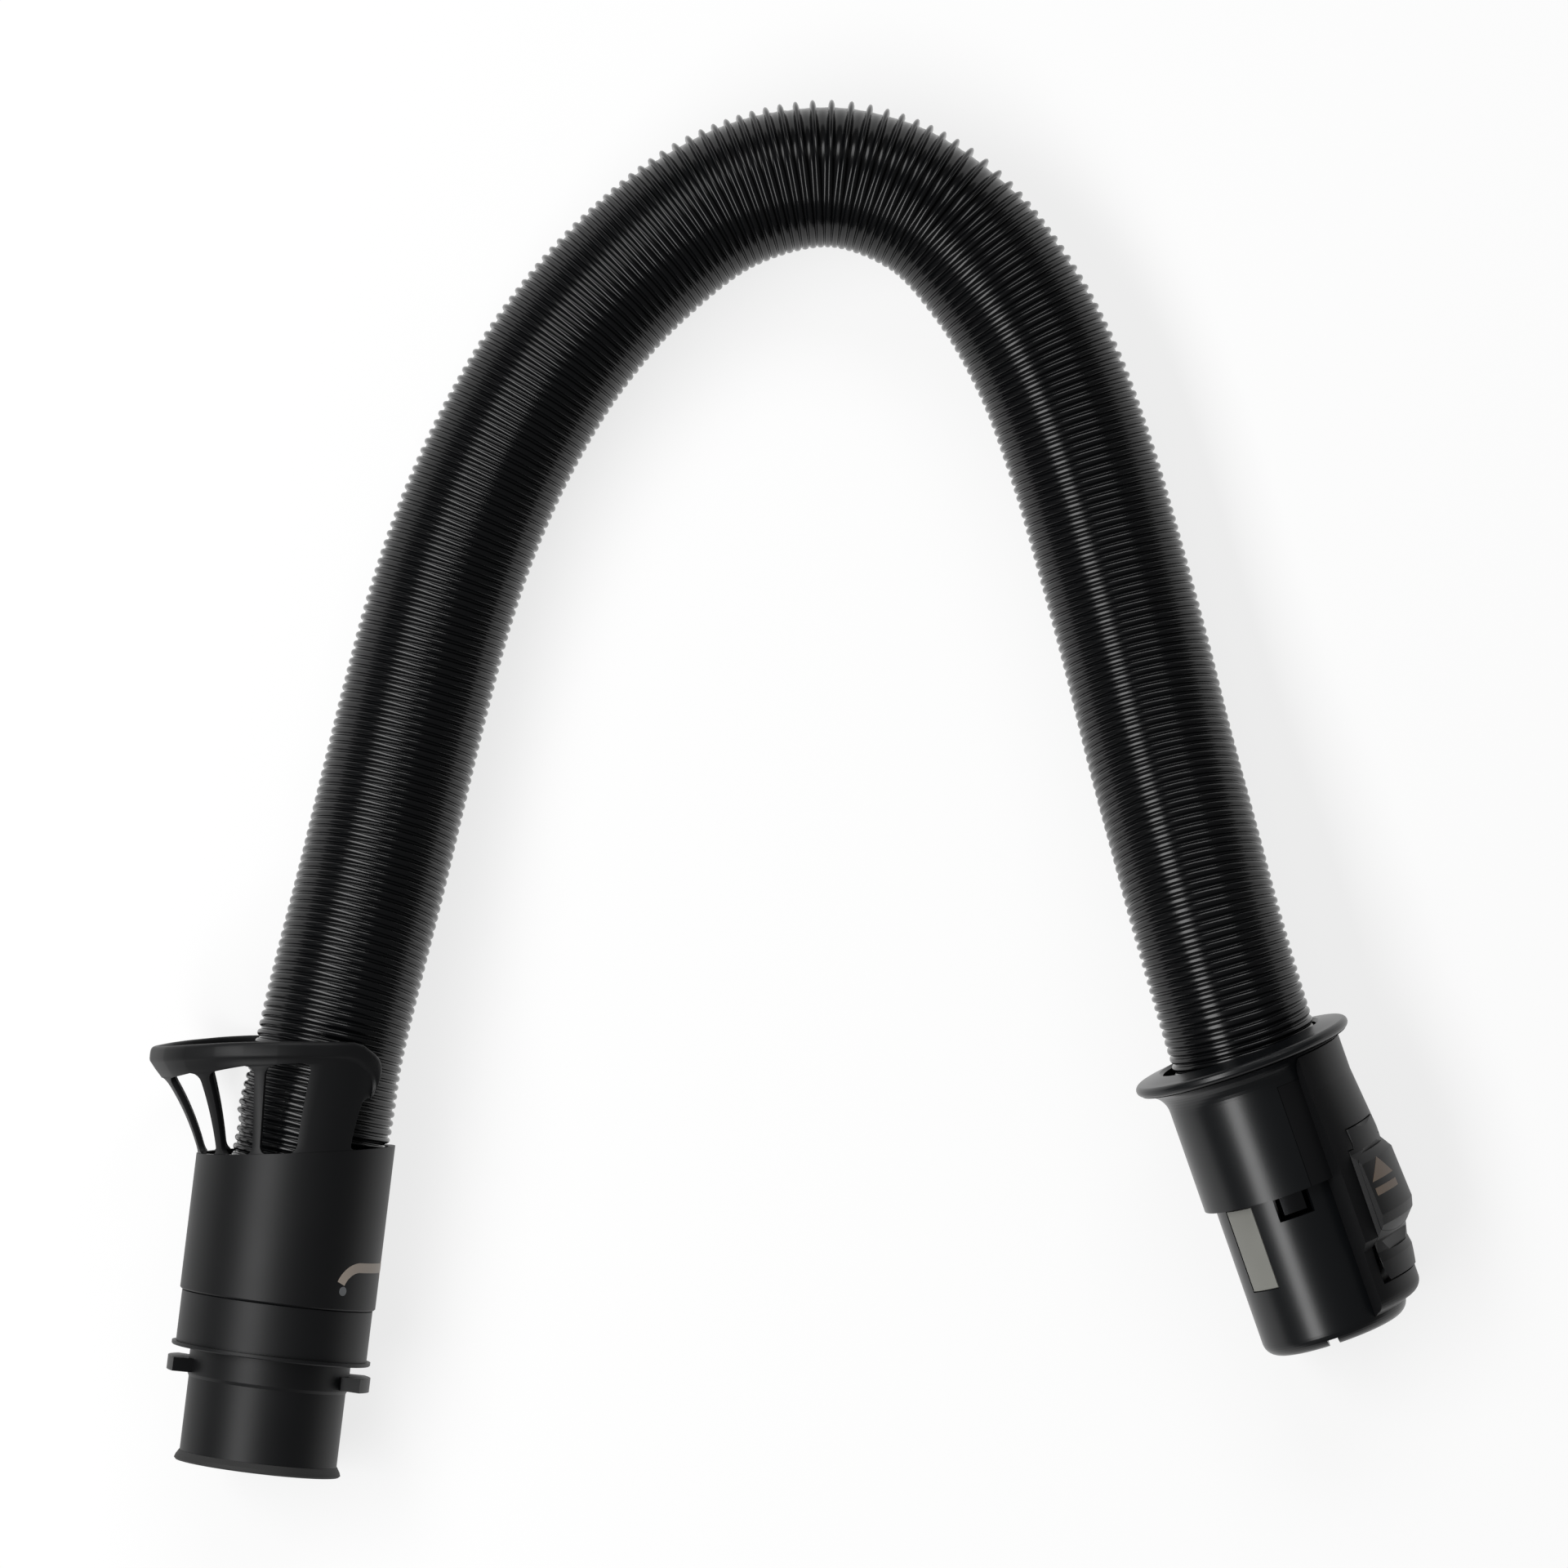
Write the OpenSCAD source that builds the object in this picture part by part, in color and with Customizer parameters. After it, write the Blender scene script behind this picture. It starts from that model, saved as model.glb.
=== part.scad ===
// Ribbed vacuum hose with a guarded twist-lock connector at the machine end and a latching
// connector at the wand end. It lies in an arch on a flat surface.
// Millimetres. The origin is the centre of the machine spigot's mouth. +X runs to the wand end,
// +Y to the crown of the arch and +Z is up.

/* [Hose] */
// Outside diameter over the ribs
hose_d = 44; // [41:0.5:45]
// Diameter of the airway through the hose
hose_bore = 35.6; // [30:0.2:37]
// Depth of the grooves between the ribs
rib_depth = 1.9; // [0.6:0.1:2.2]
// Ribs along the whole hose
hose_ribs = 200; // [60:10:200]

/* [Spigot] */
// Outside diameter of the spigot that enters the machine
spigot_d = 47; // [45:0.5:49]
// Diameter of the airway through the spigot
spigot_bore = 41; // [36:0.5:42]
// Length of the spigot from its mouth to its rim
spigot_len = 33.9; // [30:0.1:40]
// How much the neck above the spigot is larger in radius
neck_step = 0.5; // [0.4:0.1:1.5]
// Length of the neck below the rim
neck_len = 7.9; // [7.5:0.1:9]
// Radial reach of the two bayonet lugs
lug_reach = 6.3; // [3:0.1:7]
// Height of a bayonet lug along the spigot
lug_h = 4.1; // [3:0.1:5]
// Angle that a bayonet lug spans
lug_span = 46; // [20:1:60]
// Thickness of the thin rim above the lugs
rim_t = 1.2; // [0.8:0.1:2]
// How far the rim stands out past the housing
rim_proud = 0.5; // [0.2:0.1:1.5]

/* [Swivel housing and bend guard] */
// Room around the hose inside the housing, to let the hose lean
lean_room = 5.2; // [5:0.1:7]
// Wall of the housing and its bend guard
housing_wall = 2; // [1.8:0.1:3]
// Length of the lock collar below the seam
collar_len = 15.5; // [15:0.1:22]
// How much the lock collar is set back from the housing
collar_step = 0.7; // [0.2:0.1:1]
// Length of the housing from the seam to the middle of the throat
housing_len = 44.9; // [40:0.1:60]
// Slant of the throat, which is lower on the flared side
throat_slant = 9; // [5:0.5:12]
// Length of the bend guard at its posts, measured along its wall
guard_len = 32.5; // [28:0.5:36]
// How much longer the guard's wall is on its flared side, as a share of its length
guard_stretch = 0.18; // [0:0.02:0.2]
// Angle of the guard's wall at the throat, on its flared side
guard_angle_low = 21; // [16:1:32]
// Angle of the guard's wall at the rim, on its flared side
guard_angle_high = 46; // [34:1:50]
// Outward lean of the end posts, so that the hose clears them as the connector turns
post_lean = 5.5; // [4:0.5:9]
// Half of the angle that the guard covers; the rest is open
guard_half_span = 123; // [110:1:135]
// Height of the solid band under the guard's rim
band_h = 10; // [6:0.1:12]
// Ribs of the guard, without its two end posts
guard_spokes = 6; // [4:1:9]
// Width of a guard rib
spoke_w = 2.8; // [2:0.1:5]

/* [Wand connector] */
// Diameter of the flange round the hose
flange_d = 66.4; // [58:0.2:72]
// Thickness of the flange
flange_t = 2.8; // [2.6:0.1:4]
// Wall of the sleeve below the flange
sleeve_wall = 1.6; // [1.5:0.1:2.5]
// Room between the hose and the sleeve
sleeve_room = 2.1; // [2.1:0.1:3]
// Length of the sleeve from the flange's middle to its step
sleeve_len = 40.5; // [39.5:0.1:44]
// Outside diameter of the plug that enters the wand
plug_d = 45; // [43:0.5:46]
// Wall of the plug
plug_wall = 2.5; // [2:0.1:3]
// Distance of the plug's end from the flange's middle
plug_end = 88.3; // [86:0.1:92]
// Rounding of the plug's outer edge
plug_round = 4.5; // [3:0.1:5]
// Width of the inlaid wear strip
strip_w = 10.5; // [6:0.1:14]
// Length of the inlaid wear strip
strip_l = 25; // [15:0.5:35]

/* [Release latch] */
// Width of the latch and of its button
latch_w = 22.6; // [18:0.2:23]
// Distance of the latch pin from the flange's middle
latch_pin_h = 30.5; // [30:0.1:31.5]
// Diameter of the latch pin
latch_pin_d = 2.4; // [2:0.1:2.6]
// Height of the button over the latch
button_h = 3.8; // [2:0.1:4.5]
// Length of the button
button_l = 26.5; // [20:0.5:27]
// Turn of the latch from rest to pressed in, in degrees
latch_turn = 4.5; // [2:0.1:5]

/* [Pose on the surface] */
// Lean of the machine connector, seen from above
machine_lean = 7; // [4:0.5:9]
// Lean of the wand connector, seen from above
wand_lean = 19.5; // [17:0.5:22]
// How far the machine connector is tipped up by resting on its guard's rim
machine_tilt = 2.5; // [1.5:0.5:4]
// How far the wand connector is tipped up by resting on its flange
wand_tilt = 7; // [5.5:0.5:8]
// How far the hose leans inside the machine connector
machine_cant = 4.5; // [0:0.5:6]
// How far the hose leans inside the wand connector
wand_cant = 2.5; // [0:0.5:3]

/* [Hidden] */
$fn = 96;
eps = 0.01;

// Fits and gaps
running_fit = 0.05;
slip_gap = 0.1;
turning_gap = 0.3;
glue_gap = 0.15;
pin_fit = 0.05;

// Radii that follow the hose
hose_r = hose_d / 2;
cup_r = hose_r + glue_gap;
housing_bore_r = hose_r + lean_room;
housing_r = housing_bore_r + housing_wall;
sleeve_bore_r = hose_r + sleeve_room;
sleeve_r = sleeve_bore_r + sleeve_wall;
spigot_r = spigot_d / 2;
plug_r = plug_d / 2;
flange_r = flange_d / 2;

// Heights along the machine connector, from the spigot's mouth
lip_h = 2.9;
lip_wall = 0.85;
lip_proud = 1.4;
rim_z = spigot_len;
lug_z = rim_z - neck_len + 0.4;
collar_z = rim_z + rim_t;
seam_z = collar_z + collar_len;
throat_z = seam_z + housing_len;
clip_t = 1.6;
clip_open = 30;
clip_gap = 0.4;
clip_reach = 0.8;
flange_z1 = seam_z - clip_gap;
ferrule_flange_t = 4.1;
ferrule_z = flange_z1 - ferrule_flange_t;
seal_t = 1.8;
seal_z = ferrule_z - turning_gap - seal_t;
ferrule_floor = 3.4;
hose_seat_z = ferrule_z + ferrule_floor;
machine_cup_len = 18.5;
ferrule_wall = 1.5;
machine_ferrule_r = cup_r + machine_cup_len * sin(machine_cant) + ferrule_wall;
airway_r = min(hose_bore / 2 + 0.2, hose_r - 2);

// Heights along the wand connector, from the flange's middle to the plug's end
wand_ferrule_h1 = sleeve_len - 10.5;
wand_seat_h = wand_ferrule_h1 - 2;
wand_ferrule_h0 = wand_ferrule_h1 - 14;
wand_flange_h = wand_ferrule_h1 - 4;
wand_ferrule_r = sleeve_bore_r - 0.9;
wand_clip_t = 1.5;
wand_clip_h = wand_flange_h - wand_clip_t - turning_gap;
wand_seal_t = 1.5;
plug_top_h = wand_ferrule_h1 + turning_gap + wand_seal_t;
fillet_h = 9;
fillet_r = fillet_h - 1.7;
panel_h = fillet_h + 0.3;
panel_az0 = 12.6;
panel_az1 = 107.4;
seam_angle = 0.35;
latch_az = 60;
strip_az = -50;
window_az = -3;
window_span = 28;
window_h = 7;

// The wand connector's flange stands where the arch ends
flange_centre = [293, 122.5, 4.5];

// Frames
module at_machine()
    rotate([0, 0, -machine_lean]) rotate([machine_tilt - 90, 0, 0]) children();

module at_wand()
    translate(flange_centre) rotate([0, 0, wand_lean]) rotate([90 + wand_tilt, 0, 0]) children();

module at_latch() at_wand() rotate([0, 0, 90 - latch_az]) children();

// Directions out of the connectors, in the row's axes
function aim(lean, tilt) = [sin(lean) * cos(tilt), cos(lean) * cos(tilt), sin(tilt)];

machine_axis = aim(machine_lean, machine_tilt);
wand_axis = -aim(-wand_lean, wand_tilt);
hose_start = hose_seat_z * machine_axis;
hose_end = flange_centre + wand_seat_h * wand_axis;
start_aim = aim(machine_lean + machine_cant, machine_tilt);
end_aim = aim(wand_cant - wand_lean, wand_tilt);

module at_hose_start()
    translate(hose_start) rotate([0, 0, -machine_lean - machine_cant])
        rotate([machine_tilt - 90, 0, 0]) children();

module at_hose_end()
    translate(hose_end) rotate([0, 0, wand_lean - wand_cant])
        rotate([wand_tilt - 90, 0, 0]) children();

// Route of the hose: straight out of each ferrule for one diameter, and an arch between
straight_steps = [0, 16, 32, 46];
arch_points = [
    [19, 112, 4.6], [23, 131, 4.2], [28, 152, 2.2], [33.7, 175, -0.9], [40, 202, -4.2],
    [46.5, 229, -5.9], [54, 257, -6.2], [63, 283, -6.2], [75, 309, -6.2], [91, 335, -6.2],
    [112, 359, -6.2], [139, 379.3, -6.2], [171, 387, -6.2], [200, 377, -6.2], [220, 356, -6.2],
    [235, 330, -6.2], [245.5, 302, -6.2], [254, 273, -6], [262, 243, -4.4], [269, 214, -0.6],
    [276, 187, 4.2], [282, 164, 7.2]];
route = concat(
    [for (t = straight_steps) hose_start + t * start_aim],
    arch_points,
    [for (i = [len(straight_steps) - 1:-1:0]) hose_end + straight_steps[i] * end_aim]);

// Smooth curve through the route
curve_steps = 10;
function bend(a, b, c, d, t) =
    0.5 * (2 * b + (c - a) * t + (2 * a - 5 * b + 4 * c - d) * t * t
    + (3 * b - a - 3 * c + d) * t * t * t);
last = len(route) - 1;
curve = concat(
    [for (i = [0:last - 1], k = [0:curve_steps - 1])
        let (before = i == 0 ? 2 * route[0] - route[1] : route[i - 1],
            after = i == last - 1 ? 2 * route[last] - route[last - 1] : route[i + 2])
        bend(before, route[i], route[i + 1], after, k / curve_steps)],
    [route[last]]);
along = [for (i = 0, s = 0; i < len(curve);
    s = s + (i + 1 < len(curve) ? norm(curve[i + 1] - curve[i]) : 0), i = i + 1) s];
hose_length = along[len(along) - 1];
tables = [for (axis = [0:2]) [for (i = [0:len(curve) - 1]) [along[i], curve[i][axis]]]];
function on_route(s) = [for (axis = [0:2]) lookup(s, tables[axis])];
function unit(v) = v / norm(v);
function heading(s) = unit(on_route(min(s + 1, hose_length)) - on_route(max(s - 1, 0)));

// Eight-sided rings square to the route, with a corner straight down
ring_sides = 8;
function ring(s, r) =
    let (centre = on_route(s), t = heading(s), side = unit(cross(t, [0, 0, 1])), up = cross(side, t))
    [for (k = [0:ring_sides - 1]) let (a = 360 * k / ring_sides)
        centre + r * (sin(a) * side - cos(a) * up)];

function flat(lists) = [for (l = lists) each l];
function wall_faces(first, rings, out) =
    [for (i = [0:rings - 2], k = [0:ring_sides - 1])
        let (a = first + i * ring_sides + k, b = first + i * ring_sides + (k + 1) % ring_sides,
            c = a + ring_sides, d = b + ring_sides)
        each out ? [[a, c, b], [b, c, d]] : [[a, b, c], [b, d, c]]];
function end_faces(outer, inner, out) =
    [for (k = [0:ring_sides - 1])
        let (a = outer + k, b = outer + (k + 1) % ring_sides,
            c = inner + k, d = inner + (k + 1) % ring_sides)
        each out ? [[a, b, c], [b, d, c]] : [[a, c, b], [b, c, d]]];

// A ring of rectangular section, turned about the connector's axis
module band(r_in, r_out, z0, z1)
    translate([0, 0, z0]) difference() {
        cylinder(h = z1 - z0, r = r_out);
        translate([0, 0, -1]) cylinder(h = z1 - z0 + 2, r = r_in);
    }

// Part of a ring between two angles
module sector(r_in, r_out, z0, z1, from, span)
    rotate([0, 0, from]) rotate_extrude(angle = span)
        translate([r_in, z0]) square([r_out - r_in, z1 - z0]);

function arc(cx, cy, r, from, to, n) =
    [for (i = [0:n]) let (a = from + (to - from) * i / n) [cx + r * cos(a), cy + r * sin(a)]];

// Machine end

module spigot() color("#1b1c1e") at_machine() {
    neck_r = spigot_r + neck_step;
    shoulder_r = housing_bore_r - slip_gap;
    rotate_extrude() polygon(concat(
        [[spigot_bore / 2, 0], [spigot_r - lip_wall, 0], [spigot_r - lip_wall, lip_h],
            [spigot_r, lip_h], [spigot_r, rim_z - neck_len - 1], [neck_r, rim_z - neck_len],
            [neck_r, rim_z], [housing_r + rim_proud - 0.3, rim_z],
            [housing_r + rim_proud, rim_z + 0.3], [housing_r + rim_proud, collar_z],
            [shoulder_r, collar_z], [shoulder_r, seal_z], [spigot_bore / 2, seal_z]]));
    for (side = [0, 180])
        sector(neck_r - 0.5, neck_r + lug_reach, lug_z, lug_z + lug_h, side - lug_span / 2, lug_span);
}

module spigot_lip_seal() color("#101011") at_machine()
    rotate_extrude() polygon([[spigot_r - lip_wall + eps, 0], [spigot_r + lip_proud - 0.5, 0],
        [spigot_r + lip_proud, 0.5], [spigot_r + lip_proud - 0.3, 1.4], [spigot_r + 0.2, lip_h],
        [spigot_r - lip_wall + eps, lip_h]]);

module lock_collar() color("#1b1c1e") at_machine() {
    rotate_extrude() polygon([[housing_bore_r, collar_z], [housing_r - collar_step, collar_z],
        [housing_r - collar_step, seam_z - 0.4], [housing_r - collar_step - 0.4, seam_z],
        [housing_bore_r, seam_z]]);
}

module machine_swivel_seal() color("#2a2a2c") at_machine()
    band(spigot_bore / 2, housing_bore_r - turning_gap, seal_z, seal_z + seal_t);

module machine_swivel_clip() color("#8d9094") at_machine()
    sector(machine_ferrule_r + turning_gap, housing_bore_r + clip_reach, seam_z, seam_z + clip_t,
        clip_open / 2, 360 - clip_open);

// Bend guard: a comb of ribs that stands on the throat and carries a band, flared on one side. A
// point is given by its angle from the flared side, its distance along the wall and its height off
// the wall. The rim stands upright on the flared wall
guard_aim = -177;
rim_h = 5.5;
flare_power = 2.5;
root_inset = 0.15;
guard_t = housing_wall - 3 * root_inset;
function guard_point(turn, s, off) =
    let (share = pow((1 + cos(turn)) / 2, flare_power),
        low = share * guard_angle_low + post_lean * max(-cos(turn), 0),
        rate = share * (guard_angle_high - guard_angle_low) / guard_len,
        bent = min(s, guard_len - rim_h),
        angle = low + rate * bent,
        face = s > bent ? 0 : angle,
        scale = (1 + guard_stretch * share) * 180 / PI / rate,
        r = housing_r - root_inset + scale * (cos(low) - cos(angle)) + off * cos(face),
        rise = s > 0 ? scale * (sin(angle) - sin(low)) + s - bent - off * sin(face) : 0)
    [r * cos(guard_aim + turn), r * sin(guard_aim + turn),
        throat_z + rise - r * cos(turn) * tan(throat_slant)];

window_top = guard_len - band_h;
post_w = 19.5;
post_round = 3.6;
base_round = 2.2;
top_round = 2.6;
corner_round = 12;
mean_r = housing_r + 5;
function to_turn(w) = w / mean_r * 180 / PI;
function quarter(x, r) = x >= r ? 0 : r - sqrt(max(r * r - (r - x) * (r - x), 0));
function widening(s) =
    to_turn(quarter(s, base_round) + quarter(max(window_top - s, 0), top_round));

// Columns of the comb: each has an angle, and a share of the widening of the ribs' feet and heads
window_cols = 4;
post_steps = [0, 0.3, 1, 2, 3.6, 8, 12, 16];
post_fan = 16;
function fanned(turn, s) =
    turn + sign(turn) * post_fan * pow(abs(turn) / guard_half_span, 4) * pow(s / guard_len, 2);
post_middle = guard_half_span - to_turn(post_w) + to_turn(spoke_w / 2);
function window_start(j) =
    2 * post_middle * j / (guard_spokes + 1) - post_middle + to_turn(spoke_w / 2);
columns = concat(
    [for (d = post_steps) [to_turn(d) - guard_half_span, min(d / post_round, 1) - 1]],
    [for (j = [0:guard_spokes], m = [0:window_cols])
        let (u = m / window_cols)
        [(1 - u) * window_start(j) - u * window_start(guard_spokes - j), 1 - 2 * u]],
    [for (i = [len(post_steps) - 1:-1:0])
        [guard_half_span - to_turn(post_steps[i]), 1 - min(post_steps[i] / post_round, 1)]]);
function in_window(i) =
    let (m = i - len(post_steps))
    m >= 0 && m < (guard_spokes + 1) * (window_cols + 1) && m % (window_cols + 1) < window_cols;

comb_rows = concat([0, 0.25, 0.9, base_round],
    [for (k = [1:3]) base_round + (window_top - top_round - base_round) * k / 3],
    [window_top - 1.2, window_top - 0.3, window_top]);
foot_rows = len(comb_rows);
// The rim's outline from its foot over its rounded edge, and how much higher the windows reach
// round the sides
rim_bead = [[-5, 0.2], [-4, 0.9], [-0.9, 0.9], [-0.2, 0.4], [0, -0.4], [-0.3, -guard_t]];
window_rise = 0.16;
function guard_top(turn) =
    let (d = corner_round - (guard_half_span - abs(turn)) * PI / 180 * mean_r)
    guard_len - (d > 0 ? corner_round - sqrt(max(corner_round * corner_round - d * d, 0)) : 0);
function guard_section(column) =
    let (top = guard_top(column[0]),
        share = min(1 + window_rise * pow(sin(min(abs(column[0]), 90)), 2), (top - 5) / window_top),
        rows = concat([for (s = comb_rows) [s, s * share]],
            [[window_top, (top - rim_h + window_top * share) / 2]]),
        wall = [for (row = rows) [column[0] + column[1] * widening(row[0]), row[1]]],
        head = column[0] + column[1] * widening(window_top))
    concat([for (w = wall) guard_point(fanned(w[0], w[1]), w[1], 0)],
        [for (b = rim_bead) guard_point(fanned(head, top + b[0]), top + b[0], b[1])],
        [for (k = [len(wall) - 1:-1:0])
            guard_point(fanned(wall[k][0], wall[k][1]), wall[k][1], -guard_t)]);

guard_sections = [for (c = columns) guard_section(c)];
n = len(guard_sections[0]);
function quad(a, b) = [[a, b, b + n], [a, b + n, a + n]];
function rib_walls(i) = flat([for (k = [0:n - 1]) quad(i * n + k, i * n + (k + 1) % n)]);
function band_walls(i) = concat(
    flat([for (k = [foot_rows - 1:n - foot_rows - 1]) quad(i * n + k, i * n + k + 1)]),
    quad((i + 1) * n - foot_rows, i * n + foot_rows - 1));
function side_wall(i, rows, ahead) =
    [for (k = [0:rows - 2])
        let (a = i * n + k, b = a + 1, c = (i + 1) * n - 2 - k, d = c + 1)
        each ahead ? [[a, b, c], [a, c, d]] : [[a, c, b], [a, d, c]]];

module bend_guard() color("#17181a") at_machine() {
    end = len(columns) - 1;
    polyhedron(points = flat(guard_sections), faces = flat([
        for (i = [0:end - 1]) in_window(i) ? band_walls(i) : rib_walls(i),
        for (i = [1:end - 1])
            if (in_window(i) != in_window(i - 1)) side_wall(i, foot_rows, in_window(i)),
        side_wall(0, n / 2, false),
        side_wall(end, n / 2, true)]));
}

module swivel_housing() color("#17181a") at_machine() difference() {
    high_z = throat_z + housing_r * tan(throat_slant) + 1;
    rotate_extrude() polygon([[housing_bore_r + clip_reach + slip_gap, seam_z],
        [housing_r - 0.4, seam_z], [housing_r, seam_z + 0.4], [housing_r, high_z],
        [housing_bore_r, high_z], [housing_bore_r, seam_z + clip_t + slip_gap],
        [housing_bore_r + clip_reach + slip_gap, seam_z + clip_t + slip_gap]]);
    translate([0, 0, throat_z]) rotate([0, 0, guard_aim]) rotate([0, throat_slant, 0])
        translate([-2 * housing_r, -2 * housing_r, 0]) cube(4 * housing_r);
}

module machine_hose_ferrule() color("#3a3b3d") difference() {
    at_machine() rotate_extrude() polygon([[airway_r, ferrule_z],
        [housing_bore_r - running_fit, ferrule_z], [housing_bore_r - running_fit, flange_z1],
        [machine_ferrule_r, flange_z1], [machine_ferrule_r, hose_seat_z + machine_cup_len],
        [airway_r, hose_seat_z + machine_cup_len]]);
    at_hose_start() cylinder(h = machine_cup_len + 10, r = cup_r);
}

// Hose

module hose_jacket() color("#121314") {
    pitch = hose_length / hose_ribs;
    bore_rings = 80;
    outer = [for (i = [0:2 * hose_ribs])
        ring(i * pitch / 2, i % 2 == 0 ? hose_r - rib_depth : hose_r)];
    inner = [for (i = [0:bore_rings]) ring(i * hose_length / bore_rings, hose_bore / 2)];
    first_inner = len(outer) * ring_sides;
    last_outer = first_inner - ring_sides;
    last_inner = first_inner + bore_rings * ring_sides;
    polyhedron(points = flat(concat(outer, inner)), faces = concat(
        wall_faces(0, len(outer), false), wall_faces(first_inner, len(inner), true),
        end_faces(0, first_inner, false), end_faces(last_outer, last_inner, true)));
}

// Wand end

module wand_hose_ferrule() color("#3a3b3d") difference() {
    at_wand() rotate_extrude() polygon([[airway_r, wand_ferrule_h0],
        [wand_ferrule_r, wand_ferrule_h0], [wand_ferrule_r, wand_flange_h],
        [sleeve_bore_r - running_fit, wand_flange_h], [sleeve_bore_r - running_fit, wand_ferrule_h1],
        [airway_r, wand_ferrule_h1]]);
    at_hose_end() cylinder(h = wand_seat_h, r = cup_r);
}

module wand_swivel_clip() color("#8d9094") at_wand()
    sector(wand_ferrule_r + turning_gap, sleeve_bore_r + clip_reach, wand_clip_h,
        wand_clip_h + wand_clip_t, clip_open / 2 - 90, 360 - clip_open);

module wand_swivel_seal() color("#2a2a2c") at_wand()
    band(plug_r - plug_wall, sleeve_bore_r - turning_gap, plug_top_h - wand_seal_t, plug_top_h);

// The groove in the sleeve and the panel that holds the clip
module clip_groove() at_wand()
    band(sleeve_bore_r - 1, sleeve_bore_r + clip_reach + slip_gap, wand_clip_h - slip_gap,
        wand_clip_h + wand_clip_t + slip_gap);

module flanged_sleeve() color("#1d1f21") difference() {
    at_wand() {
        lip = flange_t / 2;
        rotate_extrude() polygon(concat(
            [[sleeve_bore_r, sleeve_len], [sleeve_bore_r, -lip - 0.6], [sleeve_bore_r + 1, -lip - 1.4],
                [flange_r - 3, -lip - 0.4]],
            arc(flange_r - 1.6, 0, 1.6, -70, 90, 8),
            [[flange_r - 2.2, 1.7]],
            arc(sleeve_r + fillet_r, fillet_h, fillet_r, 262, 180, 10),
            [[sleeve_r, sleeve_len]]));
    }
    at_wand() sector(sleeve_bore_r - 1, sleeve_r + 1, panel_h, sleeve_len + 1,
        90 - panel_az1 - seam_angle, panel_az1 - panel_az0 + 2 * seam_angle);
    clip_groove();
}

// The latch housing: a panel between the sleeve's edges, with the raised box of the latch on it
latch_half = latch_w / 2;
box_span = 62;
box_low = sleeve_r + 3.5;
box_high = sleeve_r + 5.3;
box_tail = plug_r + 5.7;
button_h0 = 36;
button_h1 = button_h0 + button_l;
hook_gap = 4.7;
hook_h0 = button_h1 + hook_gap;
hook_len = 7.8;
hook_h1 = hook_h0 + hook_len;
button_r = box_high - 0.4 + button_h;
pin_r = box_high - 3.6;
hinge_w = 18;
hinge_r = 2;
hinge_top_h = 34.6;

// Outline that the housing, the latch and the button share, turned about the connector's axis
module latch_crown()
    at_wand() rotate_extrude() polygon([[0, 0], [box_high + 0.1, 0], [box_high + 0.1, button_h0],
        [button_r - 0.9, button_h0 + 3.4], [button_r, button_h1 - 7], [button_r - 0.8, button_h1 - 4],
        [box_high - 1, button_h1], [box_tail + 0.9, hook_h0 - 1], [box_tail + 1.4, hook_h0 + 2],
        [box_tail + 0.7, hook_h1], [box_tail + 0.7, plug_end], [0, plug_end]]);

module latch_pocket(gap) {
    translate([pin_r, 0, latch_pin_h]) rotate([90, 0, 0])
        cylinder(h = hinge_w + 2 * gap, r = hinge_r + gap, center = true);
    translate([pin_r, -hinge_w / 2 - gap, latch_pin_h - hinge_r - gap])
        cube([20, hinge_w + 2 * gap, 10]);
    translate([sleeve_r + 0.2, -hinge_w / 2 - gap, latch_pin_h])
        cube([20, hinge_w + 2 * gap, sleeve_len - latch_pin_h]);
    translate([sleeve_r + 0.2, -latch_half - gap, hinge_top_h - gap])
        cube([20, latch_w + 2 * gap, sleeve_len - hinge_top_h + gap]);
    translate([plug_r - 5, -latch_half - gap, sleeve_len])
        cube([20, latch_w + 2 * gap, hook_h1 + 0.6 - sleeve_len]);
}

module latch_housing() color("#191a1c") difference() {
    at_wand() {
        sector(sleeve_bore_r, sleeve_r, panel_h + slip_gap, sleeve_len, 90 - panel_az1,
            panel_az1 - panel_az0);
        rotate([0, 0, 90 - latch_az - box_span / 2]) rotate_extrude(angle = box_span)
            polygon(concat(
                [[sleeve_r - 0.3, panel_h + 0.3], [sleeve_r + 0.3, panel_h + 0.3]],
                arc(sleeve_r + fillet_r, fillet_h, fillet_r - 0.3, 180, 237, 6),
                [[box_low, 14], [box_high, 33], [box_high, button_h1 - 1], [box_tail + 0.2, hook_h0 - 3],
                    [box_tail, hook_h0], [box_tail, plug_end - 9]],
                arc(box_tail - 4, plug_end - 9, 4, 10, 80, 6),
                [[plug_r + slip_gap, plug_end - 4], [plug_r + slip_gap, sleeve_len - eps],
                    [sleeve_r - 0.3, sleeve_len - eps]]));
    }
    at_latch() {
        latch_pocket(turning_gap);
        translate([pin_r, 0, latch_pin_h]) rotate([90, 0, 0])
            cylinder(h = hinge_w + 4, r = latch_pin_d / 2 + 0.02, center = true);
    }
    clip_groove();
}

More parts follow.
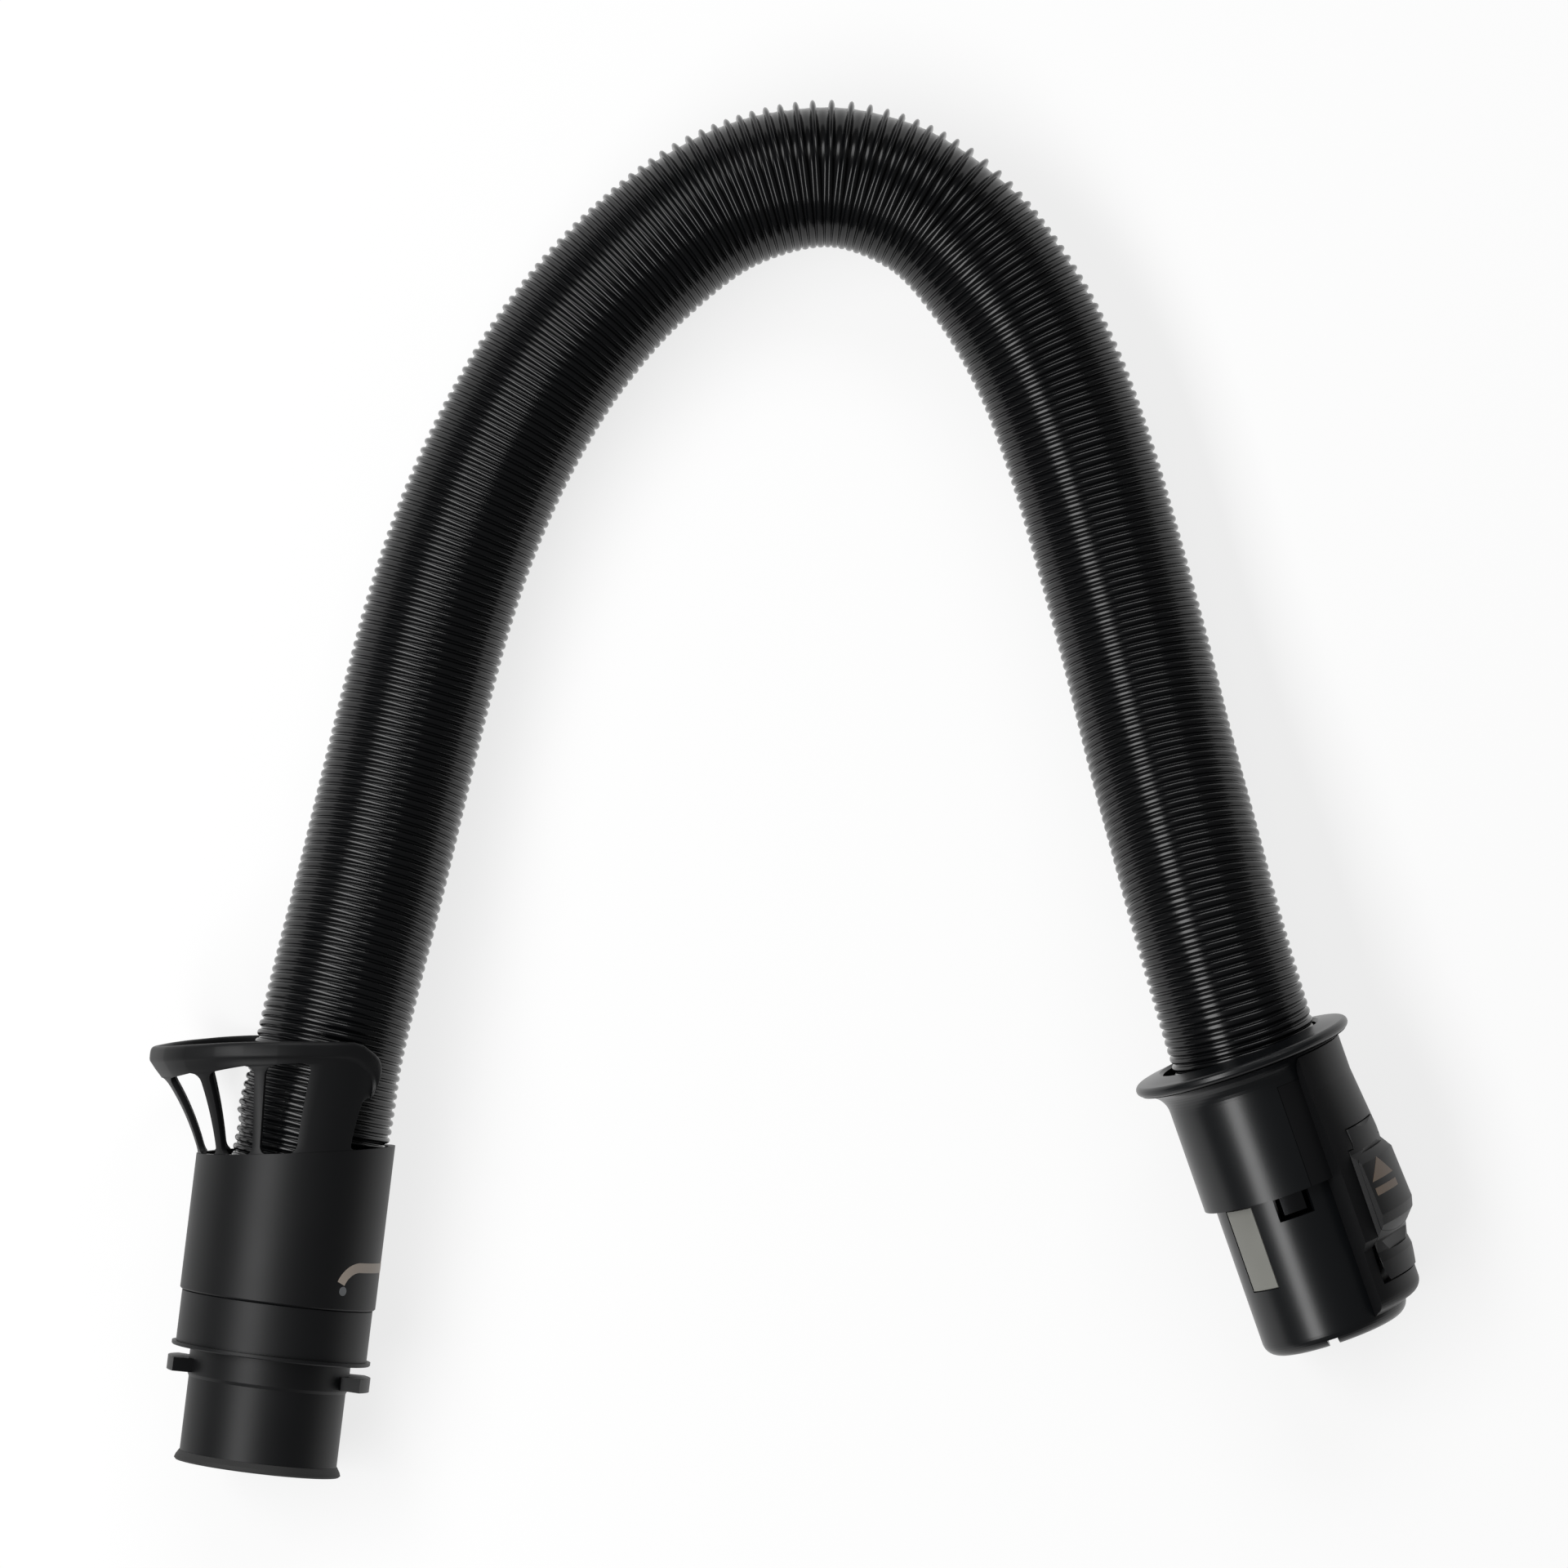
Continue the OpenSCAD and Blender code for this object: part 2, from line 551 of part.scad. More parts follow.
module plug_body() color("#1d1f21") difference() {
    at_wand() rotate_extrude() polygon(concat(
        [[plug_r - plug_wall, plug_top_h], [sleeve_bore_r - slip_gap, plug_top_h],
            [sleeve_bore_r - slip_gap, sleeve_len], [plug_r, sleeve_len]],
        arc(plug_r - plug_round, plug_end - plug_round, plug_round, 0, 80, 8),
        [[plug_r - plug_round, plug_end], [plug_r - plug_round, plug_end - plug_round],
            [plug_r - plug_wall, plug_end - plug_round - 2]]));
    at_wand() {
        for (az = [window_az, window_az + 126])
            sector(plug_r - plug_wall - 1, plug_r + 1, sleeve_len + 0.6, sleeve_len + 0.6 + window_h,
                90 - az - window_span / 2, window_span);
        rotate([0, 0, 90 - strip_az]) translate([plug_r - 1.2, -strip_w / 2 - 0.4, sleeve_len + 0.6])
            cube([5, strip_w + 0.8, strip_l + 0.8]);
        rotate([0, 0, 90 + 9]) translate([plug_r - 8, -1.6, plug_end - 2.2]) cube([12, 3.2, 4]);
    }
}

module snap_clips() color("#9a9c9f") at_wand()
    for (az = [window_az, window_az + 126])
        sector(plug_r - plug_wall + 0.4, plug_r - 0.3, sleeve_len + 0.6, sleeve_len + 6, 90 - az - 9, 18);

module wear_strip() color("#7f8079") at_wand()
    rotate([0, 0, 90 - strip_az]) intersection() {
        translate([plug_r - 1.2, -strip_w / 2, sleeve_len + 1]) cube([5, strip_w, strip_l]);
        rotate([0, 0, strip_az - 90]) cylinder(h = 200, r = plug_r - 0.1);
    }

module latch_pin() color("#b5b8bc") at_latch()
    translate([pin_r, 0, latch_pin_h]) rotate([90, 0, 0])
        cylinder(h = hinge_w + 3.2, r = latch_pin_d / 2, center = true);

spring_h = 54;
lever_low = plug_r + 0.7 + (hook_h1 - latch_pin_h) * sin(latch_turn);
module latch_spring() color("#b5b8bc") at_latch()
    translate([plug_r - 0.02, 0, spring_h]) rotate([0, 90, 0]) difference() {
        cylinder(h = lever_low - plug_r, r = 2.8);
        translate([0, 0, -1]) cylinder(h = 20, r = 2);
    }

module release_latch() color("#161718") intersection() {
    latch_crown();
    lever();
}

module lever() at_latch() difference() {
    union() {
        rotate([90, 0, 0]) linear_extrude(height = hinge_w, center = true)
            polygon([[sleeve_r + 0.9, latch_pin_h], [pin_r, latch_pin_h - hinge_r],
                [box_high - 0.3, latch_pin_h - hinge_r], [box_high + 2, hinge_top_h + 1],
                [sleeve_r + 0.9, hinge_top_h + 1]]);
        rotate([90, 0, 0]) linear_extrude(height = latch_w, center = true)
            polygon([[sleeve_r + 0.9, hinge_top_h], [box_high + 2, hinge_top_h],
                [box_high - 0.4, button_h0 - 0.3], [box_high - 0.6, button_h1],
                [box_tail + 0.2, button_h1 + 0.8], [box_tail + 0.2, hook_h0 - 0.6],
                [box_tail + 2.4, hook_h0], [box_tail + 2.4, hook_h1 - 0.6],
                [box_tail + 1.2, hook_h1], [lever_low + 0.6, hook_h1], [lever_low + 0.2, hook_h0],
                [lever_low, spring_h], [sleeve_r + 1.6, sleeve_len]]);
        translate([pin_r, 0, latch_pin_h]) rotate([90, 0, 0])
            cylinder(h = hinge_w, r = hinge_r, center = true);
    }
    translate([pin_r, 0, latch_pin_h]) rotate([90, 0, 0])
        cylinder(h = latch_w + 2, r = latch_pin_d / 2 + pin_fit, center = true);
}

module release_button() color("#141516") intersection() {
    corner = 3;
    inset = 0.7;
    latch_crown();
    at_latch() translate([box_high - 0.4, 0, (button_h0 + button_h1) / 2]) rotate([0, 90, 0])
        linear_extrude(height = button_h + 3) offset(r = corner)
            square([button_l - 2 * (corner + inset), latch_w - 2 * corner], center = true);
}

spigot();
spigot_lip_seal();
lock_collar();
swivel_housing();
bend_guard();
machine_swivel_seal();
machine_swivel_clip();
machine_hose_ferrule();
hose_jacket();
wand_hose_ferrule();
wand_swivel_clip();
wand_swivel_seal();
flanged_sleeve();
latch_housing();
plug_body();
snap_clips();
wear_strip();
latch_pin();
latch_spring();
release_latch();
release_button();
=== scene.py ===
"""Ribbed vacuum hose with a guarded swivel connector and a latching wand connector."""

import logging
import math
from dataclasses import dataclass, field
from enum import Enum

import bmesh
import bpy
import numpy as np
from mathutils import Matrix, Vector


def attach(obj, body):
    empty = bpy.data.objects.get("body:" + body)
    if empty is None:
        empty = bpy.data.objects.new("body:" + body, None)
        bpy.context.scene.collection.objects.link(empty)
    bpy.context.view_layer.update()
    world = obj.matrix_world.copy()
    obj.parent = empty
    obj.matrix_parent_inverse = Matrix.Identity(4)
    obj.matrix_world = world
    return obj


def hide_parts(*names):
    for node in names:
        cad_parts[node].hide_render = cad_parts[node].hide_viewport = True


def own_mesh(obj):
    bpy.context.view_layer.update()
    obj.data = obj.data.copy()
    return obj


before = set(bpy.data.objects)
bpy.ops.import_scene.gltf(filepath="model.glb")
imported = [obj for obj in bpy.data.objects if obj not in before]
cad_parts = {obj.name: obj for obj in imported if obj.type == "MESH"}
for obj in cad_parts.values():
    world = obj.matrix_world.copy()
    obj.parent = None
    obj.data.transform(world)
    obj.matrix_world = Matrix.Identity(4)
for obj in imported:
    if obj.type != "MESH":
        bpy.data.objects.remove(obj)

log = logging.getLogger("vacuum_hose")

MM = 0.001


class Slot(Enum):
    """Material slots of the record."""

    SATIN = "satin_black"
    LATCH = "latch_black"
    HOSE = "hose_black"
    STEEL = "clip_steel"


class Body(Enum):
    """Moving bodies that the pieces ride on."""

    HOSE = "hose"
    MACHINE = "machine_connector"
    WAND = "wand_connector"
    LATCH = "latch"


# ---------------------------------------------------------------------------------------------
# Finishes


@dataclass(frozen=True)
class Finish:
    """One surface finish.

    Attributes:
        name: Name of the Blender material.
        colour: Base colour, linear.
        roughness: Mean roughness.
        spread: How far the roughness wanders over the surface.
        mottle: Strength of the slow change of colour.
        grain: Strength of the fine moulding grain.
        grain_scale: Grains in a metre.
        specular: Specular level of the surface.
        metallic: Share of metal.
        brushed: Stretch of the grain along one axis, for drawn metal.
    """

    name: str
    colour: tuple[float, float, float]
    roughness: float
    spread: float = 0.05
    mottle: float = 0.12
    grain: float = 0.05
    grain_scale: float = 2600.0
    specular: float = 0.5
    metallic: float = 0.0
    brushed: float = 1.0


SATIN_PLASTIC = Finish(
    "satin moulded plastic", (0.0042, 0.0044, 0.0049), 0.46, grain=0.06, specular=0.25
)
GLOSS_PLASTIC = Finish(
    "glossy moulded plastic", (0.0032, 0.0038, 0.0046), 0.3, grain=0.02, specular=0.4
)
LATCH_PLASTIC = Finish(
    "latch plastic", (0.0036, 0.0038, 0.0043), 0.42, grain=0.03, specular=0.25
)
HOSE_RUBBER = Finish(
    "ribbed elastomer", (0.0022, 0.0024, 0.0028), 0.2, spread=0.04, grain=0.03, specular=0.32
)
FERRULE_PLASTIC = Finish("matt ferrule plastic", (0.022, 0.022, 0.024), 0.6, grain=0.1)
SEAL_RUBBER = Finish("seal rubber", (0.014, 0.014, 0.014), 0.7, grain=0.12)
STRIP_PLASTIC = Finish("matt grey strip", (0.175, 0.175, 0.158), 0.55, mottle=0.2, grain=0.1)
SPRING_STEEL = Finish(
    "spring steel", (0.5, 0.5, 0.51), 0.32, metallic=1.0, grain=0.12, grain_scale=900.0, brushed=9.0
)
# Clip steel far darker than bare steel: the darkness is painted shade of the recess behind the
# plug's windows.
CLIP_STEEL_WITH_PAINTED_SHADE = Finish("clip steel darkened with painted shade", (0.035, 0.036, 0.038), 0.22, metallic=1.0, grain=0.1)
ARROW_INK = Finish("warm grey ink", (0.3, 0.255, 0.215), 0.5, mottle=0.08, grain=0.04)
SYMBOL_INK = Finish("warm light ink", (0.15, 0.11, 0.08), 0.5, mottle=0.08, grain=0.04)
DOT_PLASTIC = Finish("grey dot", (0.11, 0.115, 0.12), 0.45, mottle=0.08, grain=0.04)

CAD_FINISHES: dict[str, Finish] = {
    "spigot": SATIN_PLASTIC,
    "lock_collar": SATIN_PLASTIC,
    "swivel_housing": SATIN_PLASTIC,
    "bend_guard": SATIN_PLASTIC,
    "spigot_lip_seal": SEAL_RUBBER,
    "machine_swivel_seal": SEAL_RUBBER,
    "wand_swivel_seal": SEAL_RUBBER,
    "machine_hose_ferrule": FERRULE_PLASTIC,
    "wand_hose_ferrule": FERRULE_PLASTIC,
    "hose_jacket": HOSE_RUBBER,
    "flanged_sleeve": GLOSS_PLASTIC,
    "plug_body": GLOSS_PLASTIC,
    "latch_housing": LATCH_PLASTIC,
    "release_latch": LATCH_PLASTIC,
    "release_button": LATCH_PLASTIC,
    "wear_strip": STRIP_PLASTIC,
    "machine_swivel_clip": SPRING_STEEL,
    "wand_swivel_clip": SPRING_STEEL,
    "snap_clips": CLIP_STEEL_WITH_PAINTED_SHADE,
    "latch_pin": SPRING_STEEL,
    "latch_spring": SPRING_STEEL,
}


class FinishShop:
    """Makes each material once, from two shared node groups."""

    def __init__(self) -> None:
        """Builds the shared groups."""
        self._made: dict[str, bpy.types.Material] = {}
        self._mottle = self._mottle_group()
        self._grain = self._grain_group()

    @staticmethod
    def _sockets(tree: bpy.types.NodeTree, rows: list[tuple[str, str, str, float]]) -> None:
        """Adds the interface sockets of a group.

        Args:
            tree: The group.
            rows: Name, direction, kind and default of each socket.
        """
        for name, way, kind, default in rows:
            socket = tree.interface.new_socket(name=name, in_out=way, socket_type=kind)
            if kind == "NodeSocketFloat":
                socket.default_value = default

    def _mottle_group(self) -> bpy.types.NodeTree:
        """Slow change of colour and roughness over a moulded face.

        Returns:
            The group, with outputs Colour and Roughness.
        """
        tree = bpy.data.node_groups.new("Moulded mottle", "ShaderNodeTree")
        tree.interface.new_socket(name="Base", in_out="INPUT", socket_type="NodeSocketColor")
        self._sockets(
            tree,
            [
                ("Roughness", "INPUT", "NodeSocketFloat", 0.4),
                ("Spread", "INPUT", "NodeSocketFloat", 0.05),
                ("Mottle", "INPUT", "NodeSocketFloat", 0.1),
                ("Scale", "INPUT", "NodeSocketFloat", 60.0),
            ],
        )
        tree.interface.new_socket(name="Colour", in_out="OUTPUT", socket_type="NodeSocketColor")
        tree.interface.new_socket(
            name="Roughness out", in_out="OUTPUT", socket_type="NodeSocketFloat"
        )
        nodes, links = tree.nodes, tree.links
        source = nodes.new("NodeGroupInput")
        sink = nodes.new("NodeGroupOutput")
        place = nodes.new("ShaderNodeTexCoord")
        noise = nodes.new("ShaderNodeTexNoise")
        noise.inputs["Detail"].default_value = 3.0
        links.new(place.outputs["Object"], noise.inputs["Vector"])
        links.new(source.outputs["Scale"], noise.inputs["Scale"])
        centred = nodes.new("ShaderNodeMath")
        centred.operation = "SUBTRACT"
        centred.inputs[1].default_value = 0.5
        links.new(noise.outputs["Fac"], centred.inputs[0])
        wander = nodes.new("ShaderNodeMath")
        wander.operation = "MULTIPLY_ADD"
        links.new(centred.outputs[0], wander.inputs[0])
        links.new(source.outputs["Spread"], wander.inputs[1])
        links.new(source.outputs["Roughness"], wander.inputs[2])
        links.new(wander.outputs[0], sink.inputs["Roughness out"])
        gain = nodes.new("ShaderNodeMath")
        gain.operation = "MULTIPLY_ADD"
        gain.inputs[2].default_value = 1.0
        links.new(centred.outputs[0], gain.inputs[0])
        links.new(source.outputs["Mottle"], gain.inputs[1])
        tint = nodes.new("ShaderNodeVectorMath")
        tint.operation = "SCALE"
        links.new(source.outputs["Base"], tint.inputs[0])
        links.new(gain.outputs[0], tint.inputs["Scale"])
        links.new(tint.outputs["Vector"], sink.inputs["Colour"])
        return tree

    def _grain_group(self) -> bpy.types.NodeTree:
        """Fine grain of the mould, as a normal.

        Returns:
            The group, with the output Normal.
        """
        tree = bpy.data.node_groups.new("Mould grain", "ShaderNodeTree")
        self._sockets(
            tree,
            [
                ("Strength", "INPUT", "NodeSocketFloat", 0.05),
                ("Scale", "INPUT", "NodeSocketFloat", 2600.0),
                ("Stretch", "INPUT", "NodeSocketFloat", 1.0),
            ],
        )
        tree.interface.new_socket(name="Normal", in_out="OUTPUT", socket_type="NodeSocketVector")
        nodes, links = tree.nodes, tree.links
        source = nodes.new("NodeGroupInput")
        sink = nodes.new("NodeGroupOutput")
        place = nodes.new("ShaderNodeTexCoord")
        stretch = nodes.new("ShaderNodeCombineXYZ")
        stretch.inputs["Y"].default_value = 1.0
        stretch.inputs["Z"].default_value = 1.0
        links.new(source.outputs["Stretch"], stretch.inputs["X"])
        scaled = nodes.new("ShaderNodeVectorMath")
        scaled.operation = "MULTIPLY"
        links.new(place.outputs["Object"], scaled.inputs[0])
        links.new(stretch.outputs["Vector"], scaled.inputs[1])
        noise = nodes.new("ShaderNodeTexNoise")
        noise.inputs["Detail"].default_value = 2.0
        links.new(scaled.outputs["Vector"], noise.inputs["Vector"])
        links.new(source.outputs["Scale"], noise.inputs["Scale"])
        bump = nodes.new("ShaderNodeBump")
        bump.inputs["Distance"].default_value = 0.00012
        links.new(source.outputs["Strength"], bump.inputs["Strength"])
        links.new(noise.outputs["Fac"], bump.inputs["Height"])
        links.new(bump.outputs["Normal"], sink.inputs["Normal"])
        return tree

    def material(self, finish: Finish) -> bpy.types.Material:
        """Gives the material of a finish.

        Args:
            finish: The finish.

        Returns:
            The material, made on the first call.
        """
        if finish.name in self._made:
            return self._made[finish.name]
        material = bpy.data.materials.new(finish.name)
        material.use_nodes = True
        tree = material.node_tree
        shader = tree.nodes["Principled BSDF"]
        mottle = tree.nodes.new("ShaderNodeGroup")
        mottle.node_tree = self._mottle
        mottle.inputs["Base"].default_value = (*finish.colour, 1.0)
        mottle.inputs["Roughness"].default_value = finish.roughness
        mottle.inputs["Spread"].default_value = finish.spread
        mottle.inputs["Mottle"].default_value = finish.mottle
        grain = tree.nodes.new("ShaderNodeGroup")
        grain.node_tree = self._grain
        grain.inputs["Strength"].default_value = finish.grain
        grain.inputs["Scale"].default_value = finish.grain_scale
        grain.inputs["Stretch"].default_value = finish.brushed
        tree.links.new(mottle.outputs["Colour"], shader.inputs["Base Color"])
        tree.links.new(mottle.outputs["Roughness out"], shader.inputs["Roughness"])
        tree.links.new(grain.outputs["Normal"], shader.inputs["Normal"])
        shader.inputs["Metallic"].default_value = finish.metallic
        shader.inputs["Specular IOR Level"].default_value = finish.specular
        self._made[finish.name] = material
        return material

    def dress(self, piece: bpy.types.Object, finish: Finish) -> None:
        """Gives a piece one finish all over.

        Args:
            piece: The piece.
            finish: Its finish.
        """
        if not piece.material_slots:
            piece.data.materials.append(self.material(finish))
        for slot in piece.material_slots:
            slot.material = self.material(finish)


# ---------------------------------------------------------------------------------------------
# Places and meshes


def mesh_piece(
    name: str,
    points: np.ndarray,
    faces: list[tuple[int, ...]],
    smooth: bool = True,
    closed: bool = True,
) -> bpy.types.Object:
    """Makes a piece from points in millimetres in the part's own axes.

    Args:
        name: Name of the piece.
        points: Its points, in millimetres.
        faces: Its faces, as rows of point numbers.
        smooth: Whether the faces are shaded smooth.
        closed: Whether it encloses a volume, so that its faces can be turned outwards.

    Returns:
        The new object, which stands at the origin.
    """
    mesh = bpy.data.meshes.new(name)
    mesh.from_pydata((np.asarray(points, dtype=float) * MM).tolist(), [], faces)
    if closed:
        shell = bmesh.new()
        shell.from_mesh(mesh)
        if shell.calc_volume(signed=True) < 0:
            mesh.flip_normals()
        shell.free()
    mesh.update()
    if smooth:
        mesh.polygons.foreach_set("use_smooth", [True] * len(mesh.polygons))
    piece = bpy.data.objects.new(name, mesh)
    bpy.context.scene.collection.objects.link(piece)
    return piece


@dataclass(frozen=True)
class Place:
    """A connector's own frame, with its axis along local Z.

    Attributes:
        matrix: From the connector's frame to the part's frame, in millimetres.
        up: Local angle, in degrees, that points at the camera.
        turn: Direction in which the azimuth grows in local angles, +1 or -1.
    """

    matrix: Matrix
    up: float
    turn: float

    def point(self, r: float, azimuth: float, height: float) -> tuple[float, float, float]:
        """Places one point given round the connector.

        Args:
            r: Distance from the axis.
            azimuth: Angle from the camera side, growing to the right of the picture.
            height: Distance along the axis.

        Returns:
            The point in the part's frame, in millimetres.
        """
        a = math.radians(self.up + self.turn * azimuth)
        return tuple(self.matrix @ Vector((r * math.cos(a), r * math.sin(a), height)))

    def points(self, local: np.ndarray) -> np.ndarray:
        """Places many points given in the connector's own frame.

        Args:
            local: Points as rows.

        Returns:
            The same points in the part's frame.
        """
        turn = np.array(self.matrix.to_3x3())
        return np.asarray(local) @ turn.T + np.array(self.matrix.translation)


MACHINE_LEAN = 7.0
WAND_LEAN = 19.5
MACHINE_TILT = 2.5
WAND_TILT = 7.0
MACHINE_CANT = 4.5
WAND_CANT = 2.5
FLANGE_CENTRE = (293.0, 122.5, 4.5)

MACHINE_PLACE = Place(
    Matrix.Rotation(math.radians(-MACHINE_LEAN), 4, "Z")
    @ Matrix.Rotation(math.radians(MACHINE_TILT - 90), 4, "X"),
    up=-90.0,
    turn=1.0,
)
WAND_PLACE = Place(
    Matrix.Translation(FLANGE_CENTRE)
    @ Matrix.Rotation(math.radians(WAND_LEAN), 4, "Z")
    @ Matrix.Rotation(math.radians(90 + WAND_TILT), 4, "X"),
    up=90.0,
    turn=-1.0,
)


# ---------------------------------------------------------------------------------------------
# Hose


def aim(lean: float, tilt: float) -> np.ndarray:
    """Direction that leans to the right and is tipped up.

    Args:
        lean: Lean seen from above, in degrees.
        tilt: Tip above the surface, in degrees.

    Returns:
        A unit vector.
    """
    a, b = math.radians(lean), math.radians(tilt)
    return np.array([math.sin(a) * math.cos(b), math.cos(a) * math.cos(b), math.sin(b)])


@dataclass
class RibbedHose:
    """The stretch hose: a tube of round ribs with a smooth bore."""

    radius: float = 22.15
    bore: float = 17.8
    tight_pitch: float = 2.62
    opening: float = 0.72
    bead_w: float = 2.0
    sides: int = 56
    end_step: float = 1.0
    groove: float = 0.06
    least_pitch: float = 0.9
    bead_share: float = 0.84
    depth: float = 0.62
    depth_rate: float = 0.62
    depth_pitch: float = 2.3
    depth_range: tuple[float, float] = (0.35, 2.3)
    bead_arc: tuple[float, ...] = (0.0, 26.0, 58.0, 90.0, 122.0, 154.0, 180.0)
    bore_rings: int = 180
    bulge: float = 1.1
    swell_from: float = 51.0
    swell_rise: float = 3.0
    swell_fall: float = 24.0
    straight: tuple[float, ...] = (0.0, 16.0, 32.0, 46.0)
    start: np.ndarray = field(default_factory=lambda: 49.5 * aim(MACHINE_LEAN, MACHINE_TILT))
    end: np.ndarray = field(
        default_factory=lambda: np.array(FLANGE_CENTRE) - 28.0 * aim(-WAND_LEAN, WAND_TILT)
    )
    arch: tuple[tuple[float, float, float], ...] = (
        (19, 112, 4.6), (23, 131, 4.2), (28, 152, 2.2), (33.7, 175, -0.9), (40, 202, -4.2),
        (46.5, 229, -5.9), (54, 257, -6.2), (63, 283, -6.2), (75, 309, -6.2), (91, 335, -6.2),
        (112, 359, -6.2), (139, 379.3, -6.2), (171, 387, -6.2), (200, 377, -6.2),
        (220, 356, -6.2), (235, 330, -6.2), (245.5, 302, -6.2), (254, 273, -6.0),
        (262, 243, -4.4), (269, 214, -0.6), (276, 187, 4.2), (282, 164, 7.2),
    )

    def __post_init__(self) -> None:
        """Lays the middle line and measures along it."""
        first = aim(MACHINE_LEAN + MACHINE_CANT, MACHINE_TILT)
        final = aim(WAND_CANT - WAND_LEAN, WAND_TILT)
        rows = [self.start + t * first for t in self.straight]
        rows += [np.array(p, dtype=float) for p in self.arch]
        rows += [self.end + t * final for t in reversed(self.straight)]
        self.line = self._smooth(np.array(rows), 60)
        steps = np.linalg.norm(np.diff(self.line, axis=0), axis=1)
        self.along = np.concatenate([[0.0], np.cumsum(steps)])
        self.length = float(self.along[-1])
        self._frames()

    @staticmethod
    def _smooth(rows: np.ndarray, steps: int) -> np.ndarray:
        """Runs a smooth curve through the route's points.

        Args:
            rows: The points.
            steps: Steps between two points.

        Returns:
            The finer row of points.
        """
        ends = np.vstack([2 * rows[0] - rows[1], rows, 2 * rows[-1] - rows[-2]])
        fine = []
        for i in range(len(rows) - 1):
            a, b, c, d = ends[i : i + 4]
            for k in range(steps):
                t = k / steps
                fine.append(
                    0.5 * (2 * b + (c - a) * t + (2 * a - 5 * b + 4 * c - d) * t * t
                           + (3 * b - a - 3 * c + d) * t**3)
                )
        fine.append(rows[-1])
        return np.array(fine)

    def _frames(self) -> None:
        """Measures heading, sideways, upwards and bend on an even scale along the hose."""
        self.scale = np.arange(0.0, self.length + 0.25, 0.5)
        self.scale[-1] = self.length
        centre = self._even(self.scale)
        ahead = self._even(np.minimum(self.scale + 3.0, self.length))
        behind = self._even(np.maximum(self.scale - 3.0, 0.0))
        head = ahead - behind
        head /= np.linalg.norm(head, axis=1)[:, None]
        side = np.cross(head, [0.0, 0.0, 1.0])
        side /= np.linalg.norm(side, axis=1)[:, None]
        self.centre, self.side = centre, side
        self.lift = np.cross(side, head)
        turn = np.gradient(np.unwrap(np.arctan2(head[:, 1], head[:, 0])), self.scale)
        kernel = np.hanning(49)
        pad = len(kernel) // 2
        padded = np.pad(turn, pad, mode="edge")
        self.turn = np.convolve(padded, kernel / kernel.sum(), mode="valid")

    def _even(self, s: np.ndarray) -> np.ndarray:
        """Points on the middle line at distances along it."""
        return np.stack([np.interp(s, self.along, self.line[:, k]) for k in range(3)], axis=1)

    def _at(self, values: np.ndarray, s: np.ndarray) -> np.ndarray:
        """Values of a frame's row at distances along the hose."""
        if values.ndim == 1:
            return np.interp(s, self.scale, values)
        return np.stack([np.interp(s, self.scale, values[:, k]) for k in range(3)], axis=-1)

    def rib_places(self) -> tuple[np.ndarray, np.ndarray]:
        """Spaces the ribs: shut on the inside of a bend, open on its outside.

        Returns:
            Distance of each rib along the hose, and the pitch there.
        """
        density = (1.0 - self.opening * self.radius * np.abs(self.turn)) / self.tight_pitch
        count = np.concatenate(
            [[0.0], np.cumsum((density[1:] + density[:-1]) / 2 * np.diff(self.scale))]
        )
        total = int(count[-1])
        places = np.interp((np.arange(total) + 0.5) * count[-1] / total, count, self.scale)
        return places, 1.0 / np.interp(places, self.scale, density)

    def _ring(self, s: np.ndarray, r: np.ndarray, angle: np.ndarray) -> np.ndarray:
        """One ring whose points may each lie at their own distance along the hose."""
        return (
            self._at(self.centre, s)
            + (r * np.cos(angle))[:, None] * self._at(self.side, s)
            + (r * np.sin(angle))[:, None] * self._at(self.lift, s)
        )

    def _swell(self, s: np.ndarray) -> np.ndarray:
        """Extra radius just above the housing's throat, inside the guard's reach."""
        full = self.swell_from + self.swell_rise
        rise = np.clip((s - self.swell_from) / self.swell_rise, 0.0, 1.0)
        fall = np.clip((s - full) / self.swell_fall, 0.0, 1.0)
        return self.bulge * rise * (1.0 - fall * fall * (3.0 - 2.0 * fall))

    def build(self) -> bpy.types.Object:
        """Makes the ribbed tube with its bore.

        Returns:
            The hose.
        """
        angle = np.linspace(0.0, 2 * math.pi, self.sides, endpoint=False)
        places, pitches = self.rib_places()
        arc = np.radians(np.array(self.bead_arc))
        end_r = np.full(self.sides, self.radius - self.end_step)
        rings = [self._ring(np.zeros(self.sides), end_r, angle)]
        for s, pitch in zip(places, pitches):
            bend = float(self._at(self.turn, np.array([s]))[0])
            stretch = 1.0 + self.radius * bend * np.cos(angle)
            local = np.maximum(pitch * stretch, self.least_pitch)
            width = np.minimum(self.bead_w, self.bead_share * local)
            depth = np.clip(
                self.depth + self.depth_rate * (local - self.depth_pitch), *self.depth_range
            )
            valley = np.clip(s - 0.5 * pitch, 0.0, self.length)
            rings.append(
                self._ring(
                    np.full(self.sides, valley),
                    self.radius - depth - self.groove + self._swell(np.full(self.sides, valley)),
                    angle,
                )
            )
            for a in arc:
                place = np.clip(s - 0.5 * width * math.cos(a) / stretch, 0.0, self.length)
                r = self.radius - depth * (1.0 - math.sin(a)) + self._swell(place)
                rings.append(self._ring(place, r, angle))
        rings.append(self._ring(np.full(self.sides, self.length), end_r, angle))
        for s in np.linspace(self.length, 0.0, self.bore_rings):
            rings.append(
                self._ring(np.full(self.sides, s), np.full(self.sides, self.bore), angle)
            )
        points = np.concatenate(rings)
        total, n = len(rings), self.sides
        faces = []
        for i in range(total):
            a0, b0 = i * n, ((i + 1) % total) * n
            for k in range(n):
                j = (k + 1) % n
                faces.append((a0 + k, b0 + k, b0 + j, a0 + j))
        log.info("hose: %d ribs, %.3f m", len(places), self.length * MM)
        return mesh_piece("ribbed_hose", points, faces)

